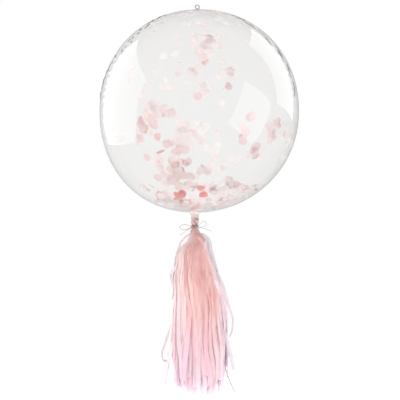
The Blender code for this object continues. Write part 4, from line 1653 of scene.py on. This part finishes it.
class BALLOON_OT_stage(bpy.types.Operator):
    """Add the camera, the floor and the soft light"""

    bl_idname = "balloon.stage"
    bl_label = "Stage"

    def execute(self, context):
        stage = settings().stage
        camera = bpy.data.cameras.new("camera")
        camera.sensor_width = 36.0
        camera.lens = camera.sensor_width * stage.distance / stage.view_width
        viewer = bpy.data.objects.new("camera", camera)
        context.scene.collection.objects.link(viewer)
        viewer.location = (VIEW_TO_SIDE, -stage.distance, VIEW_Z)
        viewer.rotation_euler = (math.radians(90), 0.0, 0.0)
        context.scene.camera = viewer

        build = bmesh.new()
        bmesh.ops.create_circle(build, cap_ends=True, segments=96, radius=FLOOR_RADIUS)
        bmesh.ops.translate(build, vec=(0, 0, stage.floor_z), verts=build.verts)
        mesh = mesh_of("floor", build)
        mesh.materials.append(floor_material())
        floor = bpy.data.objects.new("floor", mesh)
        floor.visible_glossy = False
        floor.visible_transmission = False
        context.scene.collection.objects.link(floor)

        make_world()
        for name, bearing, height, roll, size, share in WINDOWS:
            add_softbox(name, bearing, height, roll, WINDOW_DISTANCE, size, stage.windows * share, True)
        for name, bearing, height, distance, size, strength in LAMPS:
            add_softbox(name, bearing, height, 0, distance, (size, size), strength, False)
        context.scene.view_settings.view_transform = "Standard"
        return {"FINISHED"}


class BALLOON_OT_cord(bpy.types.Operator):
    """Add the cord round the tassel's neck, with its bow"""

    bl_idname = "balloon.cord"
    bl_label = "Cord and bow"

    def execute(self, context):
        material = cord_material()
        # The left loop gets more painted shade along its lower run
        make_loose_cord("left_loop", LEFT_LOOP, -1, material, (0.0, 0.8))
        make_loose_cord("left_tail", LEFT_TAIL, -1, material)
        make_loose_cord("right_loop", RIGHT_LOOP, 1, material)
        make_loose_cord("right_tail", RIGHT_TAIL, 1, material)
        make_tied_cord(material)
        return {"FINISHED"}


class BALLOON_OT_film(bpy.types.Operator):
    """Add the clear balloon with its gathered neck"""

    bl_idname = "balloon.film"
    bl_label = "Clear balloon"

    def execute(self, context):
        make_film()
        return {"FINISHED"}


class BALLOON_OT_ring(bpy.types.Operator):
    """Add the hanging ring on the crown"""

    bl_idname = "balloon.ring"
    bl_label = "Hanging ring"

    def execute(self, context):
        make_ring()
        return {"FINISHED"}


class BALLOON_OT_confetti(bpy.types.Operator):
    """Add the paper discs inside the balloon"""

    bl_idname = "balloon.confetti"
    bl_label = "Confetti"

    def execute(self, context):
        make_confetti()
        return {"FINISHED"}


class BALLOON_OT_tassel(bpy.types.Operator):
    """Add the four tissue sheets of the tassel"""

    bl_idname = "balloon.tassel"
    bl_label = "Tissue tassel"

    def execute(self, context):
        tassel = settings().tassel
        colours = (tassel.peach, tassel.lilac, tassel.white, tassel.blush)
        for number, ((name, middle_angle), colour) in enumerate(zip(SHEETS, colours)):
            make_tissue_sheet(name, middle_angle, tuple(colour), number)
        return {"FINISHED"}


OPERATORS = (
    BALLOON_OT_stage,
    BALLOON_OT_cord,
    BALLOON_OT_film,
    BALLOON_OT_ring,
    BALLOON_OT_confetti,
    BALLOON_OT_tassel,
)


class BALLOON_PT_panel(bpy.types.Panel):
    """Lists the balloon's sizes and its makers"""

    bl_idname = "BALLOON_PT_panel"
    bl_label = "Confetti balloon"
    bl_space_type = "VIEW_3D"
    bl_region_type = "UI"
    bl_category = "Balloon"

    def draw(self, context):
        model = settings()
        for operator in OPERATORS:
            self.layout.operator(operator.bl_idname)
        for group in (model.balloon, model.confetti, model.tassel, model.cord, model.stage):
            box = self.layout.box()
            for key in group.__annotations__:
                box.prop(group, key)


CLASSES = (
    BalloonSizes,
    ConfettiSizes,
    TasselSizes,
    CordSizes,
    StageSizes,
    BalloonModel,
    *OPERATORS,
    BALLOON_PT_panel,
)


def register():
    for each in CLASSES:
        bpy.utils.register_class(each)
    bpy.types.Scene.confetti_balloon = PointerProperty(type=BalloonModel)


def unregister():
    del bpy.types.Scene.confetti_balloon
    for each in reversed(CLASSES):
        bpy.utils.unregister_class(each)


def main():
    register()
    for operator in OPERATORS:
        getattr(bpy.ops.balloon, operator.bl_idname.split(".")[1])()


if __name__ == "__main__":
    main()
